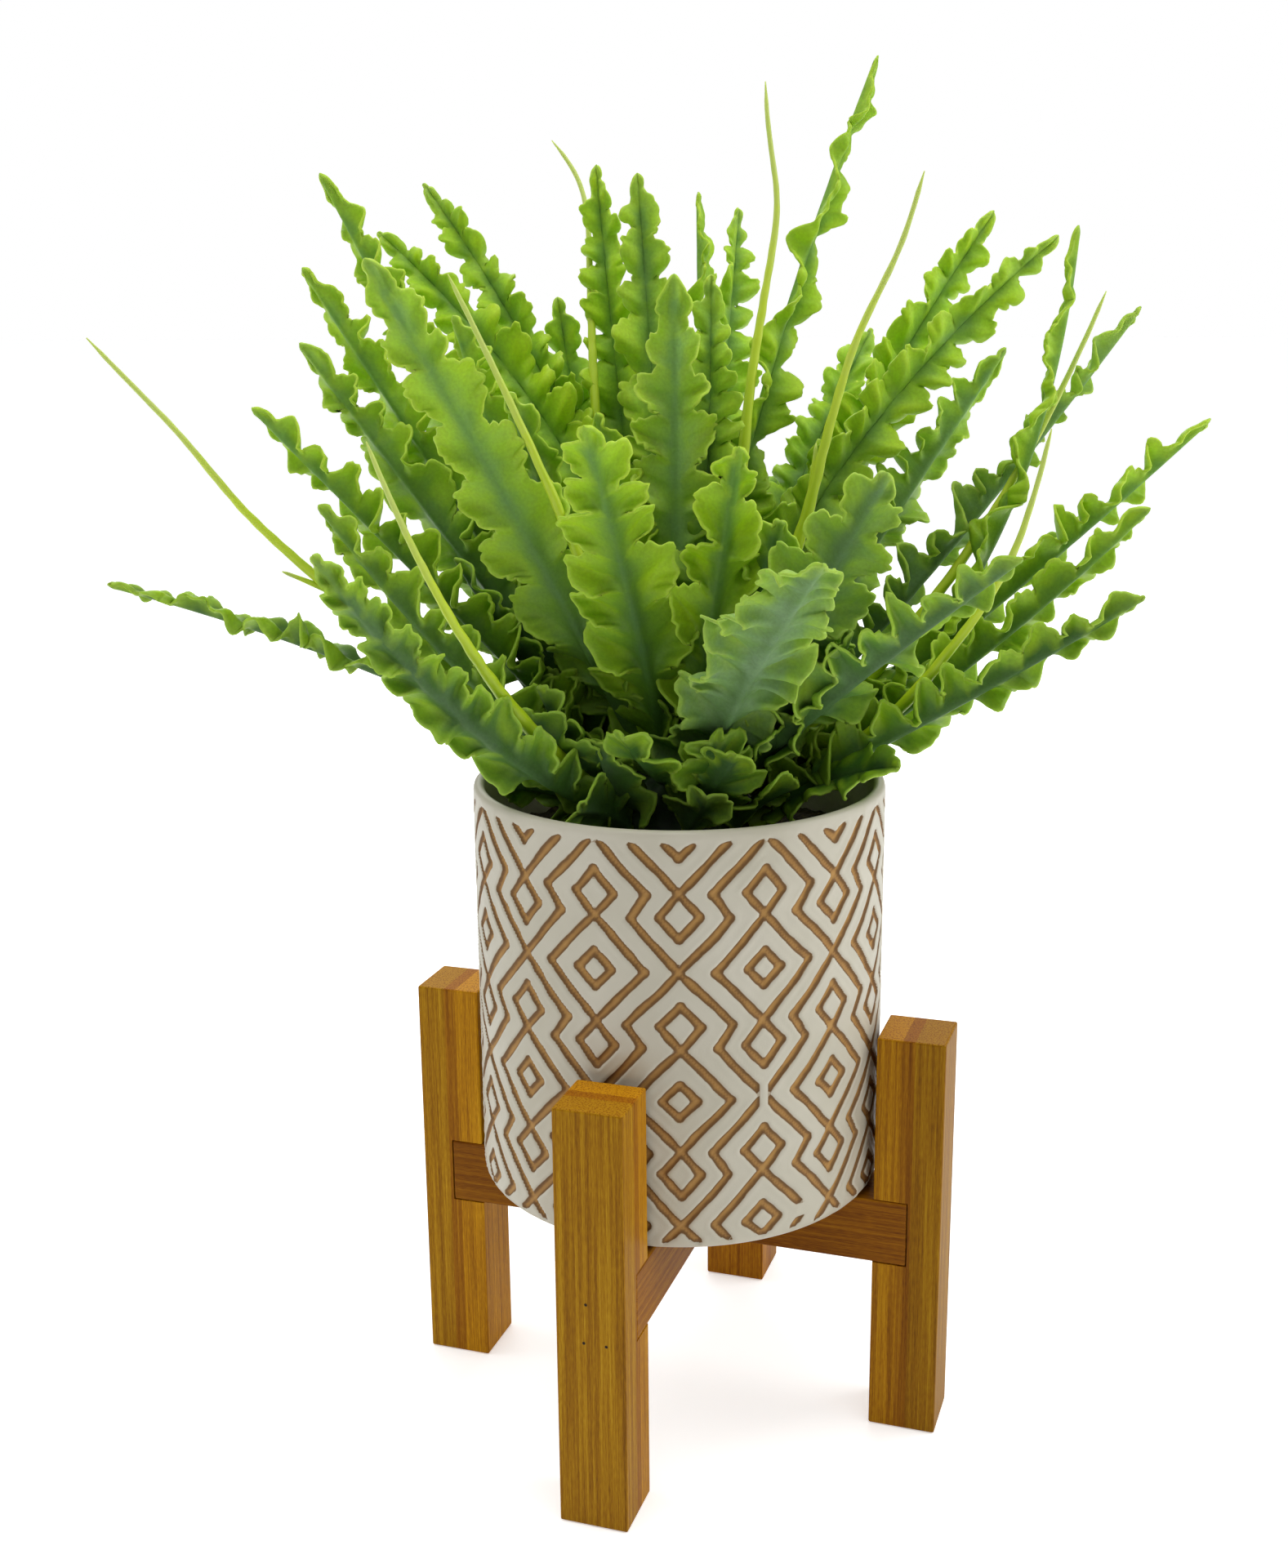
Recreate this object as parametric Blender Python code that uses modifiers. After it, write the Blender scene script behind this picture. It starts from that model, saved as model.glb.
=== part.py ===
"""A faux fern in a ceramic pot on a four-legged bamboo stand.

Metres, +Z up. The origin is on the floor under the pot's axis. +X points to the right
leg and -Y to the front leg.
"""

import math

import bmesh
import bpy
import numpy as np
from mathutils import Matrix, Vector
from mathutils.kdtree import KDTree

MM = 0.001
GAP = 0.3 * MM  # clearance between pieces that touch

# Bamboo stand
LEG_HEIGHT = 156 * MM
STICK = 25 * MM  # square section of legs and crossbars
LEG_OUTER = 103 * MM  # from the axis to a leg's outer face
HOUSING = 12.5 * MM  # how far a crossbar's end sits in a leg
BAR_TOP = 92.4 * MM
STICK_EDGE = 0.7 * MM

# Pot
POT_RADIUS = 75 * MM
POT_HEIGHT = 152 * MM
POT_BOTTOM = BAR_TOP + GAP
POT_WALL = 4 * MM
POT_FLOOR = 5 * MM
POT_CORNER = 5 * MM  # radius of the bottom outer edge
POT_STEPS = 72

# Filler and crown
FILLER_TOP = 222 * MM
FILLER_DIP = 2 * MM  # the filler falls by this much from the crown to the wall
CROWN_RADIUS = 30 * MM
CROWN_SEAT = FILLER_TOP + GAP

# Fronds, as plain straps inside their lobes
FROND_STATIONS = 15
STALK_HALF = 1.8 * MM
KEEL = 1.3 * MM  # midrib depth under the blade
RIB = 0.5 * MM  # midrib height over the blade
CLEAR = 3.3 * MM  # least distance between the middle planes of two straps
SAMPLE = 3 * MM

# Shoots
SHOOT_RADIUS = 1.2 * MM

# Each row: compass direction of the tip (degrees from +X), how far out and how high the
# tip is, how far the middle bows above the line to the tip, how far it bows to the left,
# how far the blade is turned from level and twisted by its tip, and the strap's width.
FRONDS = {
    # direction, reach, height, lift, sway, turn, twist, width
    "frond_01": (-155, 198, 321, 10, 4, -10, 20, 15),
    "frond_02": (-120, 150, 340, -12, 0, 65, -10, 22),
    "frond_03": (-153, 145, 380, 0, -4, 30, 15, 17),
    "frond_04": (-147, 125, 348, -8, 6, 50, 0, 16),
    "frond_05": (-170, 135, 400, 0, 0, 65, 10, 22),
    "frond_06": (-176, 138, 426, 0, 0, 75, 0, 20),
    "frond_07": (179, 135, 459, 0, 0, 80, -10, 20),
    "frond_08": (170, 125, 439, 27, 0, -60, 0, 20),
    "frond_09": (-130, 115, 427, 3, 0, 60, 0, 24),
    "frond_10": (160, 120, 457, 18, -3, -70, 20, 17),
    "frond_11": (144, 75, 415, -7, 0, -30, 0, 18),
    "frond_12": (134, 66, 462, -5, 0, -15, -30, 17),
    "frond_13": (132, 33, 457, -5, -3, -15, -10, 20),
    "frond_14": (99, 61, 452, 0, -3, 60, 30, 12),
    "frond_15": (93, 98, 448, 0, -1, 40, 20, 16),
    "frond_16": (47, 83, 496, 8, 4, 60, 80, 17),
    "frond_17": (50, 143, 445, 10, 0, 75, 10, 18),
    "frond_18": (38, 150, 435, 22, 0, 80, 20, 20),
    "frond_19": (20, 137, 437, -34, -4, 10, -30, 14),
    "frond_20": (25, 165, 410, -5, 0, -60, 30, 18),
    "frond_21": (14, 182, 373, -4, -3, -50, 20, 20),
    "frond_22": (6, 161, 345, -8, 0, -40, -10, 18),
    "frond_23": (-3, 162, 319, -3, 0, -30, -20, 18),
    "frond_24": (44, 138, 395, 0, 0, -80, 0, 20),
    "frond_25": (-22, 137, 336, 3, 2, -25, 10, 22),
    "frond_26": (-31, 99, 361, 0, 0, -35, -10, 26),
    "frond_27": (-53, 126, 339, 5, 0, -15, 10, 24),
    "frond_28": (-57, 72, 369, 0, 0, -15, 10, 20),
    "frond_29": (-150, 28, 376, 0, 0, 40, 0, 14),
    "frond_30": (-91, 90, 377, 4, 0, 20, 0, 24),
    "frond_31": (-76, 15, 422, 0, 0, 5, 0, 20),
    "frond_32": (41, 13, 422, 0, -7, 60, 0, 20),
    "frond_33": (-168, 78, 409, -5, 0, 70, 0, 18),
    "frond_34": (-142, 61, 384, 0, 0, 60, 0, 18),
    "frond_35": (-35, 56, 343, 0, 0, -35, 0, 16),
    # the far side
    "frond_36": (72, 135, 402, 8, 0, 10, 15, 20),
    "frond_37": (88, 130, 345, 10, 0, -15, 10, 20),
    "frond_38": (106, 120, 405, 12, 0, 0, -20, 20),
    "frond_39": (120, 150, 350, 12, 0, 20, 10, 20),
    "frond_40": (133, 130, 395, 0, 0, 15, 15, 20),
    "frond_41": (151, 160, 345, 14, 0, -10, -15, 20),
    "frond_42": (66, 142, 330, 12, 0, 20, -10, 18),
    "frond_43": (34, 165, 335, 0, 0, -20, 10, 18),
}

SHOOTS = {
    # direction, reach, height, lift, sway
    "shoot_1": (-127, 89, 422, 3, 3),
    "shoot_2": (62, 44, 487, 0, -9),
    "shoot_3": (-2, 85, 453, 3, 0),
    "shoot_4": (22, 150, 415, -18, 0),
    "shoot_5": (-4, 130, 372, -32, -9),
    "shoot_6": (-122, 126, 372, -16, 0),
    "shoot_7": (-154, 198, 403, -12, -5),
    "shoot_8": (138, 92, 472, 8, 10),
}

MATERIALS = {
    # name: (colour, roughness)
    "bamboo": ((0.40, 0.18, 0.035, 1.0), 0.45),
    "ceramic": ((0.78, 0.75, 0.70, 1.0), 0.50),
    "filler": ((0.06, 0.04, 0.025, 1.0), 0.95),
    "crown": ((0.04, 0.10, 0.02, 1.0), 0.60),
    "frond": ((0.09, 0.23, 0.03, 1.0), 0.50),
    "shoot": ((0.45, 0.58, 0.07, 1.0), 0.50),
}


def clear_scene():
    for item in list(bpy.data.objects):
        bpy.data.objects.remove(item)


def make_collection(name):
    collection = bpy.data.collections.new(name)
    bpy.context.scene.collection.children.link(collection)
    return collection


def make_material(name):
    colour, roughness = MATERIALS[name]
    material = bpy.data.materials.new(name)
    material.use_nodes = True
    shader = material.node_tree.nodes["Principled BSDF"]
    shader.inputs["Base Color"].default_value = colour
    shader.inputs["Roughness"].default_value = roughness
    shader.inputs["Metallic"].default_value = 0.0
    return material


def add_object(name, mesh, collection, material=None):
    item = bpy.data.objects.new(name, mesh)
    collection.objects.link(item)
    if material:
        mesh.materials.append(material)
    return item


def box_object(name, size, centre, collection, material=None):
    """A box of the given size, as a primitive with its scale already in the mesh."""
    mesh = bpy.data.meshes.new(name)
    shape = bmesh.new()
    bmesh.ops.create_cube(shape, size=1.0)
    bmesh.ops.scale(shape, vec=Vector(size), verts=shape.verts)
    shape.to_mesh(mesh)
    shape.free()
    item = add_object(name, mesh, collection, material)
    item.location = centre
    return item


def soften_edges(item, width):
    bevel = item.modifiers.new("edges", "BEVEL")
    bevel.width = width
    bevel.segments = 2
    bevel.limit_method = "ANGLE"


def cut(item, cutter):
    cutter.hide_render = True
    cutter.display_type = "WIRE"
    boolean = item.modifiers.new("cut", "BOOLEAN")
    boolean.operation = "DIFFERENCE"
    boolean.solver = "EXACT"
    boolean.object = cutter


def turned_object(name, profile, steps, collection, material):
    """A profile at +X, read down its outer side, turned about the Z axis."""
    mesh = bpy.data.meshes.new(name)
    edges = [(i, i + 1) for i in range(len(profile) - 1)]
    mesh.from_pydata([(r, 0.0, z) for r, z in profile], edges, [])
    item = add_object(name, mesh, collection, material)
    screw = item.modifiers.new("turn", "SCREW")
    screw.axis = "Z"
    screw.angle = math.tau
    screw.steps = steps
    screw.render_steps = steps
    screw.use_merge_vertices = True
    screw.merge_threshold = 0.00001
    screw.use_smooth_shade = True
    return item


def arc(centre_r, centre_z, radius, start, end, steps):
    """Points of an arc in the profile plane, with angles in degrees from +R towards +Z."""
    angles = [math.radians(start + (end - start) * i / steps) for i in range(steps + 1)]
    return [(centre_r + radius * math.cos(a), centre_z + radius * math.sin(a)) for a in angles]


def make_stand(parts, cutters, material):
    bar_bottom = BAR_TOP - STICK
    bar_middle = BAR_TOP - STICK / 2
    leg_middle = LEG_OUTER - STICK / 2
    places = {"front_leg": -90, "right_leg": 0, "back_leg": 90, "left_leg": 180}
    for name, degrees in places.items():
        turn = Matrix.Rotation(math.radians(degrees), 4, "Z")
        leg = box_object(name, (STICK, STICK, LEG_HEIGHT), (0, 0, 0), parts, material)
        leg.matrix_world = turn @ Matrix.Translation((leg_middle, 0, LEG_HEIGHT / 2))
        soften_edges(leg, STICK_EDGE)
        slot_depth = HOUSING + GAP
        slot_size = (slot_depth + STICK, 2 * STICK, STICK + 2 * GAP)
        slot = box_object(name + "_slot", slot_size, (0, 0, 0), cutters)
        slot_middle = LEG_OUTER - STICK + slot_depth - slot_size[0] / 2
        slot.matrix_world = turn @ Matrix.Translation((slot_middle, 0, bar_middle))
        cut(leg, slot)
    bar_length = 2 * (LEG_OUTER - STICK + HOUSING)
    side_bar_size = (bar_length, STICK, STICK)
    side_bar = box_object("left_right_bar", side_bar_size, (0, 0, bar_middle), parts, material)
    front_bar_size = (STICK, bar_length, STICK)
    front_bar = box_object("front_back_bar", front_bar_size, (0, 0, bar_middle), parts, material)
    lap = STICK / 2 + GAP / 2  # half the bar's height goes from each bar where they cross
    lap_size = (STICK + 2 * GAP, STICK + 2 * GAP, 2 * lap)
    upper = box_object("upper_lap", lap_size, (0, 0, BAR_TOP), cutters)
    lower = box_object("lower_lap", lap_size, (0, 0, bar_bottom), cutters)
    soften_edges(side_bar, STICK_EDGE)
    soften_edges(front_bar, STICK_EDGE)
    cut(side_bar, upper)
    cut(front_bar, lower)


def make_pot(parts, material):
    top = POT_BOTTOM + POT_HEIGHT
    inner = POT_RADIUS - POT_WALL
    floor = POT_BOTTOM + POT_FLOOR
    lip = POT_WALL / 2
    inner_corner = POT_CORNER - 1 * MM
    profile = [(0.0, floor)]
    profile += arc(inner - inner_corner, floor + inner_corner, inner_corner, -90, 0, 4)
    profile += arc(POT_RADIUS - lip, top - lip, lip, 180, 0, 8)
    profile += arc(POT_RADIUS - POT_CORNER, POT_BOTTOM + POT_CORNER, POT_CORNER, 0, -90, 5)
    profile += [(0.0, POT_BOTTOM)]
    turned_object("pot", profile, POT_STEPS, parts, material)


def make_filler(parts, material):
    """The plug in the pot: it follows the pot's inside and falls a little towards the wall."""
    radius = POT_RADIUS - POT_WALL - 2 * GAP
    bottom = POT_BOTTOM + POT_FLOOR + GAP
    corner = POT_CORNER - 1 * MM
    profile = [(0.0, FILLER_TOP), (CROWN_RADIUS + 2 * MM, FILLER_TOP)]
    profile += [(radius - 2 * MM, FILLER_TOP - FILLER_DIP)]
    profile += [(radius, FILLER_TOP - FILLER_DIP - 1 * MM)]
    profile += arc(radius - corner, bottom + corner, corner, 0, -90, 3)
    profile += [(0.0, bottom)]
    turned_object("filler", profile, POT_STEPS, parts, material)


def make_crown(parts, material):
    """The moulded stem head, half a ball on the filler, that everything grows from."""
    profile = arc(0.0, CROWN_SEAT, CROWN_RADIUS, 90, 0, 8)
    profile[0] = (0.0, CROWN_SEAT + CROWN_RADIUS)
    profile += [(0.0, CROWN_SEAT)]
    turned_object("crown", profile, 40, parts, material)


def growth_path(direction, reach, height, lift, sway, count):
    """Points from the crown to the tip: a quadratic curve that leaves the ball square to it."""
    heading = math.radians(direction)
    outward = np.array([math.cos(heading), math.sin(heading), 0.0])
    left = np.array([-math.sin(heading), math.cos(heading), 0.0])
    heart = np.array([0.0, 0.0, CROWN_SEAT])
    tip = outward * reach * MM + np.array([0.0, 0.0, height * MM])
    chord = tip - heart
    over = np.cross(left, chord)
    over *= -1.0 / np.linalg.norm(over)
    bend = heart + chord / 2 + 2 * MM * (lift * over + sway * left)
    start = bend - heart
    root = heart + start / np.linalg.norm(start) * (CROWN_RADIUS + GAP)
    t = np.linspace(0.0, 1.0, count)[:, None]
    return (1 - t) ** 2 * root + 2 * t * (1 - t) * bend + t**2 * tip, left


def blade_axes(path, left, turn, twist):
    """Width direction and upper normal at each point. The stalk is level, the blade turned."""
    tangent = np.gradient(path, axis=0)
    tangent /= np.linalg.norm(tangent, axis=1)[:, None]
    share = np.linspace(0.0, 1.0, len(path))
    eased = np.clip(share / 0.5, 0.0, 1.0)
    eased = eased * eased * (3 - 2 * eased)
    angle = np.radians(turn * eased + twist * share)[:, None]
    across = left - tangent * (tangent @ left)[:, None]
    across /= np.linalg.norm(across, axis=1)[:, None]
    upper = np.cross(tangent, across)
    width = across * np.cos(angle) + upper * np.sin(angle)
    return width, np.cross(tangent, width)


def half_widths(width, count):
    """Narrow stalk, then the blade, then a point at the tip."""
    t = np.linspace(0.0, 1.0, count)
    swell = np.clip((t - 0.06) / 0.26, 0.0, 1.0)
    swell = swell * swell * (3 - 2 * swell)
    taper = np.sqrt(np.clip((1.0 - t) / 0.45, 0.0, 1.0))
    return STALK_HALF + (width * MM / 2 - STALK_HALF) * swell * taper


def strap_points(path, width, left_half, right_half):
    """Points all over a strap, close together, for measuring clearance."""
    length = np.linalg.norm(np.diff(path, axis=0), axis=1).sum()
    fine = np.linspace(0, len(path) - 1, int(length / SAMPLE) + 2)
    whole = np.arange(len(path))

    def spread(values):
        columns = np.atleast_2d(values.T)
        return np.stack([np.interp(fine, whole, column) for column in columns], axis=1)

    middle = spread(path)
    left_edge = spread(path + width * left_half[:, None])
    right_edge = spread(path - width * right_half[:, None])
    rows = []
    for share in (0.0, 0.25, 0.5, 0.75, 1.0):
        rows.append(middle + (left_edge - middle) * share)
        rows.append(middle + (right_edge - middle) * share)
    return np.concatenate(rows)


def clear_half(tree, point, side, wanted):
    """How far a strap can reach from its middle before it comes too near a neighbour."""
    steps = max(2, int(wanted / (1 * MM)))
    for step in range(1, steps + 1):
        out = wanted * step / steps
        distance = tree.find(point + side * out)[2]
        if distance < CLEAR:
            return max(STALK_HALF, wanted * (step - 1) / steps - 1 * MM)
    return wanted


def neighbour_tree(clouds, skip):
    kept = [cloud for name, cloud in clouds.items() if name != skip]
    points = np.concatenate(kept)
    tree = KDTree(len(points))
    for index, point in enumerate(points):
        tree.insert(point, index)
    tree.balance()
    return tree


def settle_widths(layout, clouds):
    """Each frond in turn is as wide as asked, or as its neighbours leave room for."""
    widths = {}
    for name, (path, width, wanted) in layout.items():
        tree = neighbour_tree(clouds, name)
        left_half = wanted.copy()
        right_half = wanted.copy()
        for i in range(1, FROND_STATIONS - 1):
            left_half[i] = min(wanted[i], clear_half(tree, path[i], width[i], wanted[i]))
            right_half[i] = min(wanted[i], clear_half(tree, path[i], -width[i], wanted[i]))
        for half in (left_half, right_half):
            spread = np.minimum(half[:-1], half[1:])
            half[1:-1] = np.minimum(half[1:-1], np.minimum(spread[:-1], spread[1:]))
        widths[name] = (left_half, right_half)
        clouds[name] = strap_points(path, width, left_half, right_half)
    return widths


def strap_object(name, path, width, normal, halves, collection, material):
    """A loft of four-cornered sections, closed by the stalk's end and the tip's point."""
    left_half, right_half = halves
    mesh = bpy.data.meshes.new(name)
    shape = bmesh.new()
    rings = []
    for i in range(FROND_STATIONS - 1):
        fade = 1.0 - 0.6 * i / FROND_STATIONS  # the midrib thins towards the tip
        corners = [
            path[i] + width[i] * left_half[i],
            path[i] + normal[i] * RIB * fade,
            path[i] - width[i] * right_half[i],
            path[i] - normal[i] * KEEL * fade,
        ]
        rings.append([shape.verts.new(corner) for corner in corners])
    tip = shape.verts.new(path[-1])
    for low, high in zip(rings[:-1], rings[1:]):
        for a in range(4):
            b = (a + 1) % 4
            shape.faces.new((low[a], low[b], high[b], high[a]))
    for a in range(4):
        shape.faces.new((rings[-1][a], rings[-1][(a + 1) % 4], tip))
    shape.faces.new(rings[0][::-1])
    bmesh.ops.recalc_face_normals(shape, faces=shape.faces)
    bmesh.ops.triangulate(shape, faces=shape.faces)
    shape.to_mesh(mesh)
    shape.free()
    return add_object(name, mesh, collection, material)


def shoot_object(name, path, collection, material):
    curve = bpy.data.curves.new(name, "CURVE")
    curve.dimensions = "3D"
    curve.bevel_depth = SHOOT_RADIUS
    curve.bevel_resolution = 1
    curve.use_fill_caps = True
    spline = curve.splines.new("POLY")
    spline.points.add(len(path) - 1)
    for point, place in zip(spline.points, path):
        point.co = (*place, 1.0)
    curve.materials.append(material)
    item = bpy.data.objects.new(name, curve)
    collection.objects.link(item)
    return item


def make_plant(parts, frond_material, shoot_material):
    layout = {}
    normals = {}
    clouds = {}
    narrow = np.full(FROND_STATIONS, STALK_HALF)
    for name, row in SHOOTS.items():
        path, left = growth_path(*row, FROND_STATIONS)
        shoot_object(name, path, parts, shoot_material)
        clouds[name] = strap_points(path, np.zeros_like(path), 0 * narrow, 0 * narrow)
    for name, row in FRONDS.items():
        path, left = growth_path(*row[:5], FROND_STATIONS)
        width, normal = blade_axes(path, left, row[5], row[6])
        layout[name] = (path, width, half_widths(row[7], FROND_STATIONS))
        normals[name] = normal
        clouds[name] = strap_points(path, width, narrow, narrow)
    halves = settle_widths(layout, clouds)
    for name, (path, width, wanted) in layout.items():
        strap_object(name, path, width, normals[name], halves[name], parts, frond_material)


def main():
    clear_scene()
    parts = make_collection("potted_fern")
    cutters = make_collection("cutters")
    make_stand(parts, cutters, make_material("bamboo"))
    make_pot(parts, make_material("ceramic"))
    make_filler(parts, make_material("filler"))
    make_crown(parts, make_material("crown"))
    make_plant(parts, make_material("frond"), make_material("shoot"))


main()
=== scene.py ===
import math

import bpy
import numpy as np
from mathutils import Matrix, Vector


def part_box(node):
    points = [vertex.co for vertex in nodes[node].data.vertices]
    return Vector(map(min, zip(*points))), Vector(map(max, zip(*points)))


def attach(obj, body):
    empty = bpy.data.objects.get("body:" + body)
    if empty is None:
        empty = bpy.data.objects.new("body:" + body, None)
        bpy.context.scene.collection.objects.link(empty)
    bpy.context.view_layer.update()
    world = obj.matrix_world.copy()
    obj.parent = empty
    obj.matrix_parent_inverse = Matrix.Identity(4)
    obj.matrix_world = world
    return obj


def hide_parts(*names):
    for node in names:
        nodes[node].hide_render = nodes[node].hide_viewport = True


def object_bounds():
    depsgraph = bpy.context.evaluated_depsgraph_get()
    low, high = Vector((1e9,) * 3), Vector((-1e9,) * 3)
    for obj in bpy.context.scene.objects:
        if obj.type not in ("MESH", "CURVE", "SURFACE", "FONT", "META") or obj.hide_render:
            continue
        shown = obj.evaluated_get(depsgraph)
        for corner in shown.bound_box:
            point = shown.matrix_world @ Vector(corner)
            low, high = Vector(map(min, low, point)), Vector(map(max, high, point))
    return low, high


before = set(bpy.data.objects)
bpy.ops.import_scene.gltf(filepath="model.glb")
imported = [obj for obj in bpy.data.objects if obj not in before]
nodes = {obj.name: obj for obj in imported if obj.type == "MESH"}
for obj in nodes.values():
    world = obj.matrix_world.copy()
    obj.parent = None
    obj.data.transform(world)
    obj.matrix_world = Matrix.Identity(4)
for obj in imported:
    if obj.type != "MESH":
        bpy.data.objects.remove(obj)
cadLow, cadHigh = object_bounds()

mm = 0.001


def ease(x):
    x = np.clip(x, 0.0, 1.0)
    return x * x * (3 - 2 * x)


def unit(vectors):
    size = np.linalg.norm(vectors, axis=-1, keepdims=True)
    return vectors / np.maximum(size, 1e-9)


def waves(x, y, size, seed):
    # a smooth random field of about -1 to 1, with its hills about as far apart as size
    dice = np.random.default_rng(seed)
    total = np.zeros(np.broadcast(x, y).shape)
    for _ in range(7):
        angle = dice.uniform(0, math.tau)
        step = math.tau / size * dice.uniform(0.6, 1.5)
        along = x * math.cos(angle) + y * math.sin(angle)
        total += np.sin(along * step + dice.uniform(0, math.tau))
    return total / 3.0


def linear(colour):
    channels = [int(colour[i:i + 2], 16) / 255 for i in (1, 3, 5)]
    return tuple(c / 12.92 if c <= 0.04045 else ((c + 0.055) / 1.055) ** 2.4 for c in channels) + (1.0,)


def boxInMm(name):
    return [np.array(corner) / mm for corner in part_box(name)]


def towards(azimuth, elevation):
    # direction out from the object, in degrees: azimuth from the front round to the right, elevation upwards
    a, e = math.radians(azimuth), math.radians(elevation)
    return Vector((math.sin(a) * math.cos(e), -math.cos(a) * math.cos(e), math.sin(e)))


def perMm(size):
    # texture scale that draws detail of this many millimetres, as object coordinates are in metres
    return 1000.0 / size


def addNode(tree, kind, sockets=None, stops=None, **settings):
    # one node with its settings, a ramp's stops, and each socket's value or the output that it is linked to;
    # a node given as a value stands for its first working output
    node = tree.nodes.new(kind)
    for key, value in settings.items():
        setattr(node, key, value)
    if stops:
        ramp = node.color_ramp
        while len(ramp.elements) < len(stops):
            ramp.elements.new(0.5)
        for element, (place, colour) in zip(ramp.elements, stops):
            element.position = place
            element.color = linear(colour)
    for key, value in (sockets or {}).items():
        if isinstance(value, bpy.types.Node):
            value = next(output for output in value.outputs if output.enabled)
        if isinstance(value, bpy.types.NodeSocket):
            tree.links.new(value, node.inputs[key])
        elif isinstance(value, str):
            node.inputs[key].default_value = linear(value)
        else:
            node.inputs[key].default_value = value
    return node


def newMaterial(name, **sockets):
    material = bpy.data.materials.new(name)
    material.use_nodes = True
    tree = material.node_tree
    shader = tree.nodes["Principled BSDF"]
    for key, value in sockets.items():
        shader.inputs[key.replace("_", " ")].default_value = value
    return material, tree, shader


def loft(name, rings, material, maps=None):
    # a closed skin over the rings, from first to last, with a fan at each end; lengths in mm
    count, around = rings.shape[:2]
    row, column = np.meshgrid(np.arange(count - 1), np.arange(around), indexing="ij")
    after = (column + 1) % around
    quads = np.stack([row * around + column, row * around + after], -1)
    quads = np.concatenate([quads, quads[..., ::-1] + around], -1).reshape(-1, 4)
    first, last = count * around, count * around + 1
    turn = np.arange(around)
    nextTurn = (turn + 1) % around
    startFan = np.stack([nextTurn, turn, np.full(around, first)], -1)
    endFan = np.stack([turn, nextTurn, np.full(around, last)], -1) + (count - 1) * around
    endFan[:, 2] = last
    points = np.vstack([rings.reshape(-1, 3), rings[0].mean(0), rings[-1].mean(0)])
    triangles = np.vstack([quads[:, [0, 1, 2]], quads[:, [0, 2, 3]], startFan, endFan])
    a, b, c = (points[triangles[:, i]] for i in range(3))
    faces = quads.tolist() + startFan.tolist() + endFan.tolist()
    if np.einsum("ij,ij->", a, np.cross(b, c)) < 0:
        faces = [face[::-1] for face in faces]
    mesh = bpy.data.meshes.new(name)
    mesh.from_pydata((points * mm).tolist(), [], faces)
    for key, values in (maps or {}).items():
        ends = np.vstack([values[0].mean(0), values[-1].mean(0)])
        layer = mesh.attributes.new(key, "FLOAT_VECTOR", "POINT")
        vectors = np.vstack([values.reshape(-1, 3), ends]).astype(np.float32)
        layer.data.foreach_set("vector", vectors.ravel())
    mesh.shade_smooth()
    mesh.materials.append(material)
    piece = bpy.data.objects.new(name, mesh)
    bpy.context.scene.collection.objects.link(piece)
    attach(piece, "root")
    return piece


# Camera, in front and to the right, looking a little down
camera = {
    "azimuth": 18.53,
    "elevation": 14.50,
    "roll": -0.54,
    "distance": 0.690,
    "aim": (-0.0135, 0.0, 0.2406),
    "lens": 42.94,
}


def makeCamera():
    roll = math.radians(camera["roll"])
    back = towards(camera["azimuth"], camera["elevation"])
    right = (-back).cross(Vector((0, 0, 1))).normalized()
    up = right.cross(-back)
    rolledRight = right * math.cos(roll) + up * math.sin(roll)
    rolledUp = up * math.cos(roll) - right * math.sin(roll)
    data = bpy.data.cameras.new("camera")
    data.lens = camera["lens"]
    data.sensor_width = 36.0
    data.clip_start = 0.02
    data.clip_end = 60.0
    seen = bpy.data.objects.new("camera", data)
    bpy.context.scene.collection.objects.link(seen)
    place = Vector(camera["aim"]) + back * camera["distance"]
    axes = Matrix((rolledRight, rolledUp, back)).transposed().to_4x4()
    seen.matrix_world = Matrix.Translation(place) @ axes
    bpy.context.scene.camera = seen


# Studio: a white room with soft panels, brighter behind and at the sides than in front
studio = {
    "roomColour": "#FFFFFF",
    "roomStrength": 0.05,
    "overheadStrength": 1.15,
    "floorGlow": 0.42,  # as the paper looks
    "floorBounce": 0.14,  # as it lights what stands on it
    "floorSize": 40.0,
    "floorColour": "#FCFDFD",
    # name: (azimuth, elevation, distance, panel size, power in watts)
    "panels": {
        "topPanel": (20, 80, 1.6, 1.2, 7.0),
        "backPanel": (200, 35, 1.8, 1.4, 10.0),
        "rightPanel": (110, 24, 1.6, 1.2, 12.0),
        "leftPanel": (-84, 25, 1.6, 1.2, 6.0),
    },
}


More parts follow.
